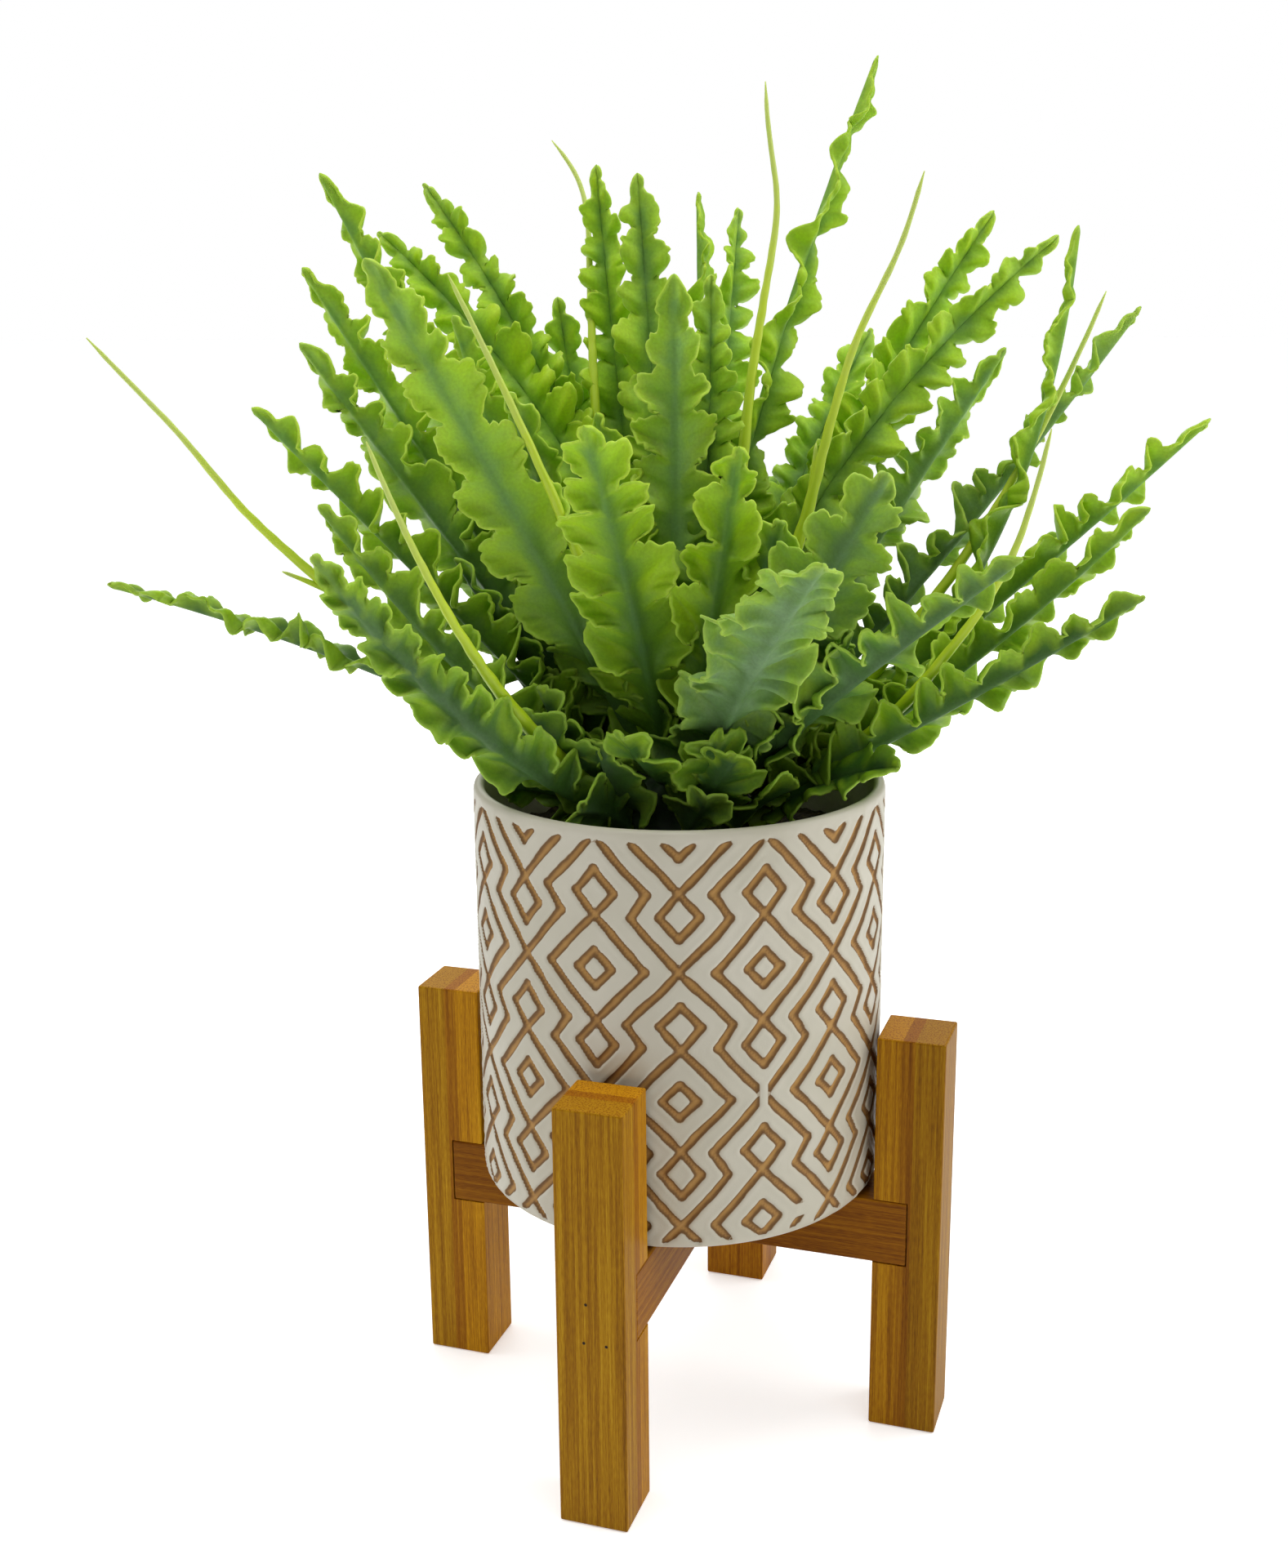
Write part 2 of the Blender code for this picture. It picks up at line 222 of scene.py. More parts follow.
def makeStudio():
    scene = bpy.context.scene
    scene.view_settings.view_transform = "Standard"
    world = bpy.data.worlds.new("whiteRoom")
    world.use_nodes = True
    scene.world = world
    tree = world.node_tree
    tree.nodes.clear()
    white = linear(studio["roomColour"])
    # the room is brightest overhead
    where = addNode(tree, "ShaderNodeTexCoord").outputs["Generated"]
    axes = addNode(tree, "ShaderNodeSeparateXYZ", {"Vector": where})
    up = addNode(tree, "ShaderNodeMath", {0: axes.outputs["Z"], 1: 0.0}, operation="MAXIMUM")
    overhead = addNode(tree, "ShaderNodeMath", {0: up, 1: 2.0}, operation="POWER")
    strength = addNode(tree, "ShaderNodeMath", {0: overhead, 1: studio["overheadStrength"],
                                                2: studio["roomStrength"]}, operation="MULTIPLY_ADD")
    light = addNode(tree, "ShaderNodeBackground", {"Color": white, "Strength": strength})
    seen = addNode(tree, "ShaderNodeBackground", {"Color": white, "Strength": 1.0})
    ray = addNode(tree, "ShaderNodeLightPath")
    both = addNode(tree, "ShaderNodeMixShader", {0: ray.outputs["Is Camera Ray"], 1: light,
                                                 2: seen})
    addNode(tree, "ShaderNodeOutputWorld", {"Surface": both})
    aim = (Vector(cadLow) + Vector(cadHigh)) / 2
    for name, (azimuth, elevation, distance, size, power) in studio["panels"].items():
        out = towards(azimuth, elevation)
        lamp = bpy.data.lights.new(name, "AREA")
        lamp.shape = "SQUARE"
        lamp.size = size
        lamp.energy = power
        panel = bpy.data.objects.new(name, lamp)
        scene.collection.objects.link(panel)
        panel.location = aim + out * distance
        panel.rotation_euler = out.to_track_quat("Z", "Y").to_euler()
    half = studio["floorSize"] / 2
    mesh = bpy.data.meshes.new("floor")
    corners = [(-half, -half, 0), (half, -half, 0), (half, half, 0), (-half, half, 0)]
    mesh.from_pydata(corners, [], [(0, 1, 2, 3)])
    # matt seamless paper: an even pale sheet with the faintest fibre
    material, tree, shader = newMaterial("seamlessPaperFloor", Roughness=0.9)
    place = addNode(tree, "ShaderNodeTexCoord")
    fibre = addNode(tree, "ShaderNodeTexNoise", {"Vector": place.outputs["Object"], "Scale": perMm(4.0)})
    tint = addNode(tree, "ShaderNodeValToRGB", {"Fac": fibre},
                   stops=[(0.3, "#FAFBFB"), (0.7, studio["floorColour"])])
    tree.links.new(tint.outputs["Color"], shader.inputs["Base Color"])
    shader.inputs["Emission Color"].default_value = white
    seenRay = addNode(tree, "ShaderNodeLightPath")
    glow = addNode(tree, "ShaderNodeMapRange", {"Value": seenRay.outputs["Is Camera Ray"],
                                                "To Min": studio["floorBounce"],
                                                "To Max": studio["floorGlow"]})
    tree.links.new(glow.outputs[0], shader.inputs["Emission Strength"])
    mesh.materials.append(material)
    floor = bpy.data.objects.new("floor", mesh)
    floor.location.z = -0.3 * mm
    scene.collection.objects.link(floor)


makeCamera()
makeStudio()
print("camera and studio made")


# Pot: a straight white cylinder with a carved net of diamonds, stained brown in the grooves
pot = {
    "wall": 4.0,
    "floor": 5.0,
    "corner": 5.0,
    "columns": 16,
    "firstColumn": -95.1,  # degrees, the middle of a column whose diamonds sit low
    "repeat": 93.0,  # height of one unit with its join
    "lowCentre": 102.5,  # height of the lowest unit on the first column
    "highCentre": 149.0,  # and on its neighbour
    # diamonds of one unit: half width, then the heights of their foot, side corners and top
    "diamonds": ((6.2, -6.3, 0.0, 6.3), (17.7, -18.8, 0.0, 18.8), (7.0, 18.8, 27.0, 35.0),
                 (7.0, -35.0, -27.0, -18.8)),
    "armCorners": ((18.3, 27.2), (12.6, 18.8)),  # where an arm turns on its way to the neighbour
    "strokeHalf": 1.6,
    "soft": 1.5,  # over which two grooves flow into each other
    "grooveDepth": 1.0,
    "topLimit": 241.3,
    "bottomLimit": 95.4,
    "gridStep": 0.93,
    # slips of the carver's hand that leave a line open: degrees, height, half width, half height
    "slips": ((-50.1, 149.0, 1.5, 6.0), (-36.6, 102.5, 4.5, 2.4)),
}


def makeGlaze():
    # slip-cast stoneware with a matt white glaze: chalky, faintly warm, with tiny pits;
    # the carved lines are bare and wiped with stain, with a dark band just inside each edge that is partly
    # stain gathered there and partly painted shade of the groove walls
    material, tree, shader = newMaterial("matteGlazedStoneware", Roughness=0.5, IOR=1.5)
    place = addNode(tree, "ShaderNodeTexCoord").outputs["Object"]
    carved = addNode(tree, "ShaderNodeAttribute", attribute_name="carved").outputs["Vector"]
    depth = addNode(tree, "ShaderNodeSeparateXYZ", {"Vector": carved}).outputs["X"]
    brush = addNode(tree, "ShaderNodeTexNoise", {"Vector": place, "Scale": perMm(3.0), "Detail": 4.0})
    grain = addNode(tree, "ShaderNodeTexNoise", {"Vector": place, "Scale": perMm(0.8), "Detail": 2.0})
    cloud = addNode(tree, "ShaderNodeTexNoise", {"Vector": place, "Scale": perMm(40.0), "Detail": 3.0})
    shift = addNode(tree, "ShaderNodeMath", {0: brush, 1: 0.5}, operation="SUBTRACT")
    shifted = addNode(tree, "ShaderNodeMath", {0: shift, 1: 0.9, 2: depth}, operation="MULTIPLY_ADD")
    stainAndGrooveShadePlace = addNode(tree, "ShaderNodeMapRange", {"Value": shifted, "From Min": -0.5, "From Max": 1.7})
    # stain with painted shade: the dark stops just inside a groove's edge stand for the shaded groove walls
    # as well as gathered stain
    stainAndGrooveShade = addNode(tree, "ShaderNodeValToRGB", {"Fac": stainAndGrooveShadePlace},
                    stops=[(0.18, "#9C7A46"), (0.32, "#6C4C28"), (0.52, "#80592B"),
                           (0.74, "#A87C3E"), (1.0, "#B88C4A")])
    wall = addNode(tree, "ShaderNodeValToRGB", {"Fac": cloud},
                   stops=[(0.35, "#C0BAA7"), (0.65, "#CBC5B4")])
    speck = addNode(tree, "ShaderNodeMapRange", {"Value": grain, "From Min": 0.66, "From Max": 0.8,
                                                 "To Max": 0.12})
    speckled = addNode(tree, "ShaderNodeMix", {"Factor": speck, "A": wall,
                                               "B": "#B7AA93"}, data_type="RGBA")
    edge = addNode(tree, "ShaderNodeMath", {0: shift, 1: 0.25, 2: depth}, operation="MULTIPLY_ADD")
    inside = addNode(tree, "ShaderNodeMapRange", {"Value": edge, "From Min": -0.12, "From Max": 0.14})
    colour = addNode(tree, "ShaderNodeMix", {"Factor": inside, "A": speckled,
                                             "B": stainAndGrooveShade}, data_type="RGBA")
    tree.links.new(colour.outputs["Result"], shader.inputs["Base Color"])
    rough = addNode(tree, "ShaderNodeMapRange", {"Value": inside, "To Min": 0.42, "To Max": 0.72})
    tree.links.new(rough.outputs[0], shader.inputs["Roughness"])
    bump = addNode(tree, "ShaderNodeBump", {"Height": grain, "Strength": 0.25, "Distance": 0.15 * mm})
    tree.links.new(bump.outputs["Normal"], shader.inputs["Normal"])
    return material


def unitStrokes():
    # one unit's grooves about its centre, in mm: x along the wall, y up. The arms start at the unit's
    # top and run down and out to where its neighbours' own units meet.
    half = pot["repeat"] / 2
    neighbour = math.tau * 75.0 / pot["columns"]
    lines = []
    for x, low, middle, high in pot["diamonds"]:
        lines.extend([((0, low), (x, middle)), ((x, middle), (0, high))])
        lines.extend([((0, high), (-x, middle)), ((-x, middle), (0, low))])
    for side in (-1, 1):
        turns = [(x * side, y) for x, y in pot["armCorners"]]
        arm = [(0, half), *turns, (neighbour * side, 0.0)]
        lines.extend(zip(arm[:-1], arm[1:]))
    return lines


def grooveReach(x, z, column):
    # how far inside a groove a point is: above 0 inside, below 0 on the wall
    rows = [pot["lowCentre"], pot["highCentre"]][column % 2]
    best = np.full(x.shape, -20.0)
    for k in (-1, 0, 1, 2):
        centre = rows + k * pot["repeat"]
        for (x0, y0), (x1, y1) in unitStrokes():
            ax, ay = x - x0, z - centre - y0
            bx, by = x1 - x0, y1 - y0
            t = np.clip((ax * bx + ay * by) / (bx * bx + by * by), 0, 1)
            away = np.hypot(ax - t * bx, ay - t * by)
            reach = pot["strokeHalf"] - away
            mix = np.clip(0.5 + 0.5 * (reach - best) / pot["soft"], 0, 1)
            best = best + (reach - best) * mix + pot["soft"] * mix * (1 - mix) * 0.5
    return best


def carvedDepth(angle, z, radius):
    # angle in degrees; hand carving wanders by a few tenths of a millimetre
    arc = np.radians(angle) * radius
    drift = 0.3 * waves(arc, z, 34.0, 3)
    rise = 0.3 * waves(arc, z, 30.0, 4)
    swell = 0.16 * waves(arc, z, 11.0, 5) + 0.04 * waves(arc, z, 4.0, 6)
    best = np.full(angle.shape, -20.0)
    pitch = 360.0 / pot["columns"]
    for column in range(pot["columns"]):
        turn = (angle - pot["firstColumn"] - column * pitch + 180) % 360 - 180
        near = np.abs(turn) < 1.15 * pitch
        x = np.radians(turn[near]) * radius + drift[near]
        best[near] = np.maximum(best[near], grooveReach(x, z[near] + rise[near], column))
    best = best + swell
    for slipAngle, slipHeight, halfWidth, halfHeight in pot["slips"]:
        across = np.abs(np.radians((angle - slipAngle + 180) % 360 - 180) * radius) - halfWidth
        best = np.minimum(best, np.maximum(across, np.abs(z - slipHeight) - halfHeight))
    top = np.maximum(z - pot["topLimit"] + 1.6, 0) * 1.1
    bottom = np.maximum(pot["bottomLimit"] + 1.6 - z, 0) * 1.1
    return best - top - bottom


def makePot(material):
    low, high = boxInMm("pot")
    radius = (high[0] - low[0]) / 2
    bottom, top = low[2], high[2]
    corner, lip = pot["corner"], pot["wall"] / 2
    inner = radius - pot["wall"]

    def bend(r, z, size, start, end, steps):
        angles = np.radians(np.linspace(start, end, steps))
        return [(r + size * math.cos(a), z + size * math.sin(a)) for a in angles]

    # a shallow hollow under the foot
    profile = [(8.0, bottom + 1.2), (radius - corner - 6.0, bottom + 1.2)]
    profile += [(radius - corner - 4.5, bottom + 0.9), (radius - corner - 3.6, bottom)]
    profile += bend(radius - corner, bottom + corner, corner, -90, 0, 7)
    wallStart = len(profile) - 1
    steps = int((top - lip - bottom - corner) / pot["gridStep"])
    heights = np.linspace(bottom + corner, top - lip, steps + 1)
    profile += [(radius, z) for z in heights[1:-1]]
    wallEnd = len(profile)
    profile += bend(radius - lip, top - lip, lip, 0, 180, 7)
    profile += [(inner, top - 25.0), (inner, bottom + 40.0)]
    profile += bend(inner - 4.0, bottom + pot["floor"] + 4.0, 4.0, 0, -90, 4)
    profile += [(8.0, bottom + pot["floor"])]
    profile = np.array(profile)
    around = int(math.tau * radius / pot["gridStep"])
    angle = np.tile(np.arange(around) * 360.0 / around, (len(profile), 1))
    r = np.tile(profile[:, :1], (1, around))
    z = np.tile(profile[:, 1:], (1, around))
    depth = np.full(r.shape, -20.0)
    wall = slice(wallStart - 3, wallEnd)
    depth[wall] = carvedDepth(angle[wall], z[wall], radius)
    # points near a groove's edge slide onto it, so that the edge is crisp
    step = 0.05
    turnStep = math.degrees(step / radius)
    slopeX = (carvedDepth(angle[wall] + turnStep, z[wall], radius) - depth[wall]) / step
    slopeZ = (carvedDepth(angle[wall], z[wall] + step, radius) - depth[wall]) / step
    steep = np.maximum(slopeX ** 2 + slopeZ ** 2, 0.3)
    near = np.abs(depth[wall]) < 0.42
    slide = np.where(near, -depth[wall] / steep, 0.0)
    angle[wall] += np.degrees(slide * slopeX / radius)
    z[wall] += slide * slopeZ
    depth[wall] = carvedDepth(angle[wall], z[wall], radius)
    sunk = pot["grooveDepth"] * ease((depth + 0.1) / 0.95)
    pillow = 0.22 * ease(1 - np.abs(depth + 0.9) / 0.9)  # the glaze stands a little proud beside a groove
    texture = 0.05 * waves(np.radians(angle) * radius, z, 7.0, 8)
    r = r - (sunk - pillow - texture) * (depth > -19)
    turn = np.radians(angle)
    rings = np.stack([r * np.cos(turn), r * np.sin(turn), z], -1)
    carved = np.stack([depth, z, r], -1)
    piece = loft("carvedPot", rings, material, {"carved": carved})
    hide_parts("pot")


makePot(makeGlaze())
print("pot made")


# Stand: four square legs and two crossbars of laminated bamboo, left as they are in the CAD
stand = {
    "legs": {"front_leg": -90, "right_leg": 0, "back_leg": 90, "left_leg": 180},  # compass side, degrees
    "bars": {"left_right_bar": 0, "front_back_bar": 90},
    "stick": 25.0,
    "outerLayer": 11.0,  # the leg is glued up from three strips across its depth
    "middleLayer": 4.5,
    # painted shade: each stick's tint darkens it as far as it is shaded
    "shadeTints": {"front_leg": "#F2ECC6", "right_leg": "#E2DAA6", "back_leg": "#E2D0A0", "left_leg": "#FFFAD8",
              "left_right_bar": "#DCC898", "front_back_bar": "#ECDEB0"},
    # heads of the pins that hold the front leg to its bar: across the face, height
    "pins": ((-2.4, 71.0), (5.7, 71.0), (-1.5, 85.6)),
    "pinRadius": 0.55,
    # a head's rings from the wood outwards: share of its radius, mm proud of the face
    "pinRings": ((0.3, -0.8), (1.0, -0.8), (1.0, 0.04), (0.7, 0.09), (0.25, 0.07)),
    "pinAround": 16,
}


def makeBamboo(part, degrees, upright):
    # laminated bamboo, planed, sanded and oiled: strips of straight pale fibres with darker streaks,
    # one strip beside the next, dotted ends where the fibres are cut, a low satin shine
    material, tree, shader = newMaterial("laminatedBamboo_" + part, Roughness=0.5, IOR=1.45)
    shader.inputs["Specular IOR Level"].default_value = 0.12
    turn = math.radians(degrees)
    place = addNode(tree, "ShaderNodeTexCoord").outputs["Object"]
    local = addNode(tree, "ShaderNodeVectorRotate", {"Vector": place, "Angle": -turn},
                    rotation_type="Z_AXIS")
    axes = addNode(tree, "ShaderNodeSeparateXYZ", {"Vector": local})
    outer = stand["outerFace"]
    depthOut = addNode(tree, "ShaderNodeMath", {0: axes.outputs["X"], 1: -1000.0, 2: outer},
                       operation="MULTIPLY_ADD")
    side = addNode(tree, "ShaderNodeMath", {0: axes.outputs["Y"], 1: 1000.0, 2: stand["stick"] / 2},
                   operation="MULTIPLY_ADD")
    height = addNode(tree, "ShaderNodeMath", {0: axes.outputs["Z"], 1: 1000.0}, operation="MULTIPLY")
    axesByGrain = (depthOut, side, height) if upright else (height, side, depthOut)
    grain = addNode(tree, "ShaderNodeCombineXYZ", dict(enumerate(axesByGrain)))
    stretched = addNode(tree, "ShaderNodeVectorMath", {0: grain, 1: (1.0, 1.0, 0.012)}, operation="MULTIPLY")
    broad = addNode(tree, "ShaderNodeTexNoise", {"Vector": stretched, "Scale": 0.6, "Detail": 2.0})
    fine = addNode(tree, "ShaderNodeTexNoise", {"Vector": stretched, "Scale": 3.0, "Detail": 3.0})
    short = addNode(tree, "ShaderNodeVectorMath", {0: grain, 1: (1.0, 1.0, 0.11)}, operation="MULTIPLY")
    dash = addNode(tree, "ShaderNodeTexNoise", {"Vector": short, "Scale": 2.6, "Detail": 2.0})
    streaks = 0.0
    for noise, share in ((broad, 0.40), (fine, 0.36), (dash, 0.24)):
        streaks = addNode(tree, "ShaderNodeMath", {0: noise, 1: share, 2: streaks}, operation="MULTIPLY_ADD")
    wood = addNode(tree, "ShaderNodeValToRGB", {"Fac": streaks},
                   stops=[(0.38, "#92620A"), (0.47, "#B28010"), (0.55, "#CA9A1A"), (0.64, "#E0B634")])
    tone = "#C4A67C"
    if upright:
        # the strips: outer, a thin dark middle one, and a yellower inner one
        outerShare = stand["outerLayer"] / stand["stick"]
        middleShare = (stand["outerLayer"] + stand["middleLayer"]) / stand["stick"]
        layer = addNode(tree, "ShaderNodeMapRange", {"Value": depthOut, "From Max": stand["stick"]})
        tone = addNode(tree, "ShaderNodeValToRGB", {"Fac": layer},
                       stops=[(0.0, "#D6CCB0"), (outerShare, "#C8A468"), (middleShare, "#F8E6A0")])
        tone.color_ramp.interpolation = "CONSTANT"
    toned = addNode(tree, "ShaderNodeMix", {"Factor": 0.75, "A": wood, "B": tone},
                    data_type="RGBA", blend_type="MULTIPLY")
    geometry = addNode(tree, "ShaderNodeNewGeometry")
    facing = addNode(tree, "ShaderNodeSeparateXYZ", {"Vector": geometry.outputs["Normal"]})
    # cut ends: dots of fibre bundles about 0.7 mm apart
    dots = addNode(tree, "ShaderNodeTexVoronoi", {"Vector": grain, "Scale": 1.35})
    dotted = addNode(tree, "ShaderNodeValToRGB", {"Fac": dots},
                     stops=[(0.10, "#8F580C"), (0.32, "#C58A14"), (0.6, "#DCAA2C")])
    endTone = addNode(tree, "ShaderNodeMix", {"Factor": 0.9, "A": dotted, "B": tone},
                      data_type="RGBA", blend_type="MULTIPLY")
    upFacing = addNode(tree, "ShaderNodeMath", {0: facing.outputs["Z"]}, operation="ABSOLUTE")
    isEnd = addNode(tree, "ShaderNodeMapRange", {"Value": upFacing, "From Min": 0.75, "From Max": 0.9})
    endShare = isEnd if upright else 0.0
    colour = addNode(tree, "ShaderNodeMix", {"Factor": endShare, "A": toned,
                                             "B": endTone}, data_type="RGBA")
    # painted shade: the stick's tint darkens it where it stands in shade
    colour = addNode(tree, "ShaderNodeMix", {"Factor": 1.0, "A": colour, "B": stand["shadeTints"][part]},
                     data_type="RGBA", blend_type="MULTIPLY")
    tree.links.new(colour.outputs["Result"], shader.inputs["Base Color"])
    bump = addNode(tree, "ShaderNodeBump", {"Height": fine, "Strength": 0.2, "Distance": 0.2 * mm})
    tree.links.new(bump.outputs["Normal"], shader.inputs["Normal"])
    return material


def makeStand():
    stand["outerFace"] = boxInMm("right_leg")[1][0]
    for name, degrees in {**stand["legs"], **stand["bars"]}.items():
        material = makeBamboo(name, degrees, name in stand["legs"])
        node = nodes[name]
        node.data.materials.clear()
        node.data.materials.append(material)


def makePins():
    # blackened steel wire pins, punched just under the face: dark dots with a dull edge
    material, tree, shader = newMaterial("blackenedSteelPin", Metallic=0.6, Roughness=0.6)
    place = addNode(tree, "ShaderNodeTexCoord").outputs["Object"]
    scale = addNode(tree, "ShaderNodeTexNoise", {"Vector": place, "Scale": perMm(0.4)})
    tint = addNode(tree, "ShaderNodeValToRGB", {"Fac": scale}, stops=[(0.35, "#1E1408"), (0.7, "#3A2814")])
    tree.links.new(tint.outputs["Color"], shader.inputs["Base Color"])
    turn = np.arange(stand["pinAround"]) * math.tau / stand["pinAround"]
    for index, (across, height) in enumerate(stand["pins"], 1):
        rings = []
        for radius, proud in stand["pinRings"]:
            r = radius * stand["pinRadius"]
            rings.append(np.stack([across + r * np.cos(turn), 0 * turn - stand["outerFace"] - proud,
                                   height + r * np.sin(turn)], -1))
        loft(f"legPin_{index}", np.array(rings), material)


makeStand()
makePins()
print("stand finished")


# Filler and crown: the foam plug under the plant and the moulded head that all stems grow from
heart = {
    "fillerRings": 26,
    "fillerAround": 150,
    "crownRings": 22,
    "crownAround": 96,
}


def makeSoil():
    # peat glued over a foam plug: dark crumbs and pale fibres, dull, no shine
    material, tree, shader = newMaterial("gluedPeatCrumb", Roughness=0.95)
    place = addNode(tree, "ShaderNodeTexCoord").outputs["Object"]
    crumb = addNode(tree, "ShaderNodeTexVoronoi", {"Vector": place, "Scale": perMm(2.2)})
    speck = addNode(tree, "ShaderNodeTexNoise", {"Vector": place, "Scale": perMm(1.2), "Detail": 4.0})
    tint = addNode(tree, "ShaderNodeValToRGB", {"Fac": speck},
                   stops=[(0.3, "#17100A"), (0.5, "#2C2013"), (0.64, "#4A3822"), (0.72, "#6D5A3C")])
    tree.links.new(tint.outputs["Color"], shader.inputs["Base Color"])
    bump = addNode(tree, "ShaderNodeBump", {"Height": crumb, "Strength": 0.7, "Distance": 1.0 * mm})
    tree.links.new(bump.outputs["Normal"], shader.inputs["Normal"])
    return material


def makeHead():
    # moulded polyethylene, the dark green of the stems' lower ends, with faint flow lines
    material, tree, shader = newMaterial("mouldedPolyethyleneCrown", Roughness=0.55, IOR=1.5)
    place = addNode(tree, "ShaderNodeTexCoord").outputs["Object"]
    cloud = addNode(tree, "ShaderNodeTexNoise", {"Vector": place, "Scale": perMm(6.0), "Detail": 3.0})
    tint = addNode(tree, "ShaderNodeValToRGB", {"Fac": cloud},
                   stops=[(0.35, "#1C3312"), (0.55, "#2C4A1B"), (0.7, "#4A6B2A")])
    tree.links.new(tint.outputs["Color"], shader.inputs["Base Color"])
    bump = addNode(tree, "ShaderNodeBump", {"Height": cloud, "Strength": 0.4, "Distance": 0.4 * mm})
    tree.links.new(bump.outputs["Normal"], shader.inputs["Normal"])
    return material


def makeFiller(material):
    low, high = boxInMm("filler")
    radius = (high[0] - low[0]) / 2 - 0.4
    turn = np.arange(heart["fillerAround"]) * math.tau / heart["fillerAround"]
    profile = [(6.0, low[2] + 0.3), (radius - 6.0, low[2] + 0.3), (radius - 1.0, low[2] + 6.0)]
    profile += [(radius, low[2] + 30.0), (radius, high[2] - 8.0), (radius, high[2] - 3.5)]
    count = heart["fillerRings"]
    profile += [(radius * (1 - i / count) + 3.0 * i / count, high[2] - 2.0) for i in range(1, count + 1)]
    rings = np.array([[(r * math.cos(a), r * math.sin(a), z) for a in turn] for r, z in profile])
    top = rings[6:]
    x, y = top[..., 0], top[..., 1]
    crumbs = 1.1 * waves(x, y, 16.0, 11) + 0.8 * waves(x, y, 6.0, 12) + 0.5 * waves(x, y, 3.2, 13)
    crown = ease((34.0 - np.hypot(x, y)) / 6.0)  # it runs level under the crown
    top[..., 2] += crumbs * (1 - crown) - 1.5 * crown
    piece = loft("peatFiller", rings, material)
    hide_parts("filler")


def makeCrown(material):
    low, high = boxInMm("crown")
    radius = (high[0] - low[0]) / 2
    turn = np.arange(heart["crownAround"]) * math.tau / heart["crownAround"]
    rings = []
    for i in range(heart["crownRings"]):
        lift = math.radians(88.0) * i / (heart["crownRings"] - 1)
        ribs = 0.7 * np.cos(turn * 16) * math.cos(lift) ** 0.5
        ribs = ribs + 0.5 * waves(turn * 30, lift * 30 + 0 * turn, 9.0, 14)
        r = radius - 1.0 + ribs
        rings.append(np.stack([r * math.cos(lift) * np.cos(turn), r * math.cos(lift) * np.sin(turn),
                               low[2] + r * math.sin(lift)], -1))
    base = rings[0].copy()
    base[:, :2] *= 0.3
    piece = loft("crownHead", np.array([base] + rings), material)
    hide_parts("crown")


makeFiller(makeSoil())
makeCrown(makeHead())
print("filler and crown made")


# Fronds: crested blades with deep ruffled lobes, moulded in one piece with their stalks
frond = {
    "rowStep": 0.8,  # mm between the mesh's rows
    "columns": (0.0, 0.05, 0.12, 0.22, 0.36, 0.52, 0.68, 0.82, 0.93, 1.0),  # shares of the half width
    "width": 28.0,  # full width over the lobes
    "pitch": 18.5,  # from one lobe to the next, near the stalk
    "depth": 0.56,  # how far a notch cuts in, as a share of the half width
    "ruffle": 4.8,  # each lobe's own rise and fall
    "wave": 3.8,  # the slow rise and fall of both margins
    "waveLength": 34.0,
    "pucker": 3.2,
    "scallop": 1.9,
    "scallopPitch": 6.2,
    "lean": 3.5,  # how far the margin leans towards the tip
    "cup": 14.0,  # degrees that each half rises from the midrib
    "blade": 0.9,  # thickness
    "rib": 1.6,  # more thickness at the midrib near the stalk
    "bloom": 0.15,  # share of the grey-green bloom on the upper side
    "tone": 0.5,  # 0 is dark green, 1 is yellow-green
    "taper": 0.58,  # share of the length over which the blade narrows to the tip
    "swell": 0.06,  # share of the length over which it widens from the stalk
    "lit": 1.0,  # how far out of the shade of the others the blade reaches
    "tipShare": 0.28,  # width just before the tip, as a share of the full width
}

# what differs on a frond, by its CAD node
ownLook = {
    "frond_01": {"width": 20, "pitch": 17, "ruffle": 4.0, "tone": 0.45, "swell": 0.1},
    "frond_02": {"width": 25, "pitch": 18, "bloom": 0.3, "depth": 0.55, "taper": 0.7, "tone": 0.4},
    "frond_05": {"width": 29, "pitch": 20},
    "frond_06": {"width": 29, "pitch": 20},
    "frond_07": {"width": 26, "pitch": 19, "tone": 0.7},
    "frond_08": {"width": 28, "pitch": 19, "tone": 0.6},
    "frond_09": {"width": 38, "pitch": 24, "bloom": 0.3, "taper": 0.9, "ruffle": 4.0, "wave": 2.5,
                 "depth": 0.5},
    "frond_10": {"width": 23, "pitch": 16},
    "frond_13": {"width": 30, "pitch": 20, "bloom": 0.25},
    "frond_16": {"width": 19, "pitch": 17, "wave": 6.5, "waveLength": 36, "ruffle": 3.0, "depth": 0.35},
    "frond_18": {"width": 26, "pitch": 18},
    "frond_19": {"width": 19, "pitch": 17, "wave": 5.0, "ruffle": 2.0, "depth": 0.25},
    "frond_20": {"width": 23, "pitch": 16, "bloom": 0.6},
    "frond_21": {"width": 28, "pitch": 20, "tone": 0.7},
    "frond_24": {"width": 28, "pitch": 19, "bloom": 0.4},
    "frond_25": {"width": 35, "pitch": 21, "bloom": 0.35, "ruffle": 5.5},
    "frond_26": {"width": 39, "pitch": 24, "bloom": 0.5, "ruffle": 6.0},
    "frond_27": {"width": 36, "pitch": 15, "bloom": 0.8, "pucker": 4.0, "depth": 0.28, "taper": 0.4,
                 "ruffle": 4.6, "scallop": 2.6, "scallopPitch": 5.6},
    "frond_28": {"width": 31, "pitch": 20, "tone": 0.6, "depth": 0.62},
    "frond_30": {"width": 38, "pitch": 23, "tone": 0.55, "depth": 0.62},
    "frond_31": {"width": 33, "pitch": 20, "bloom": 0.4},
}


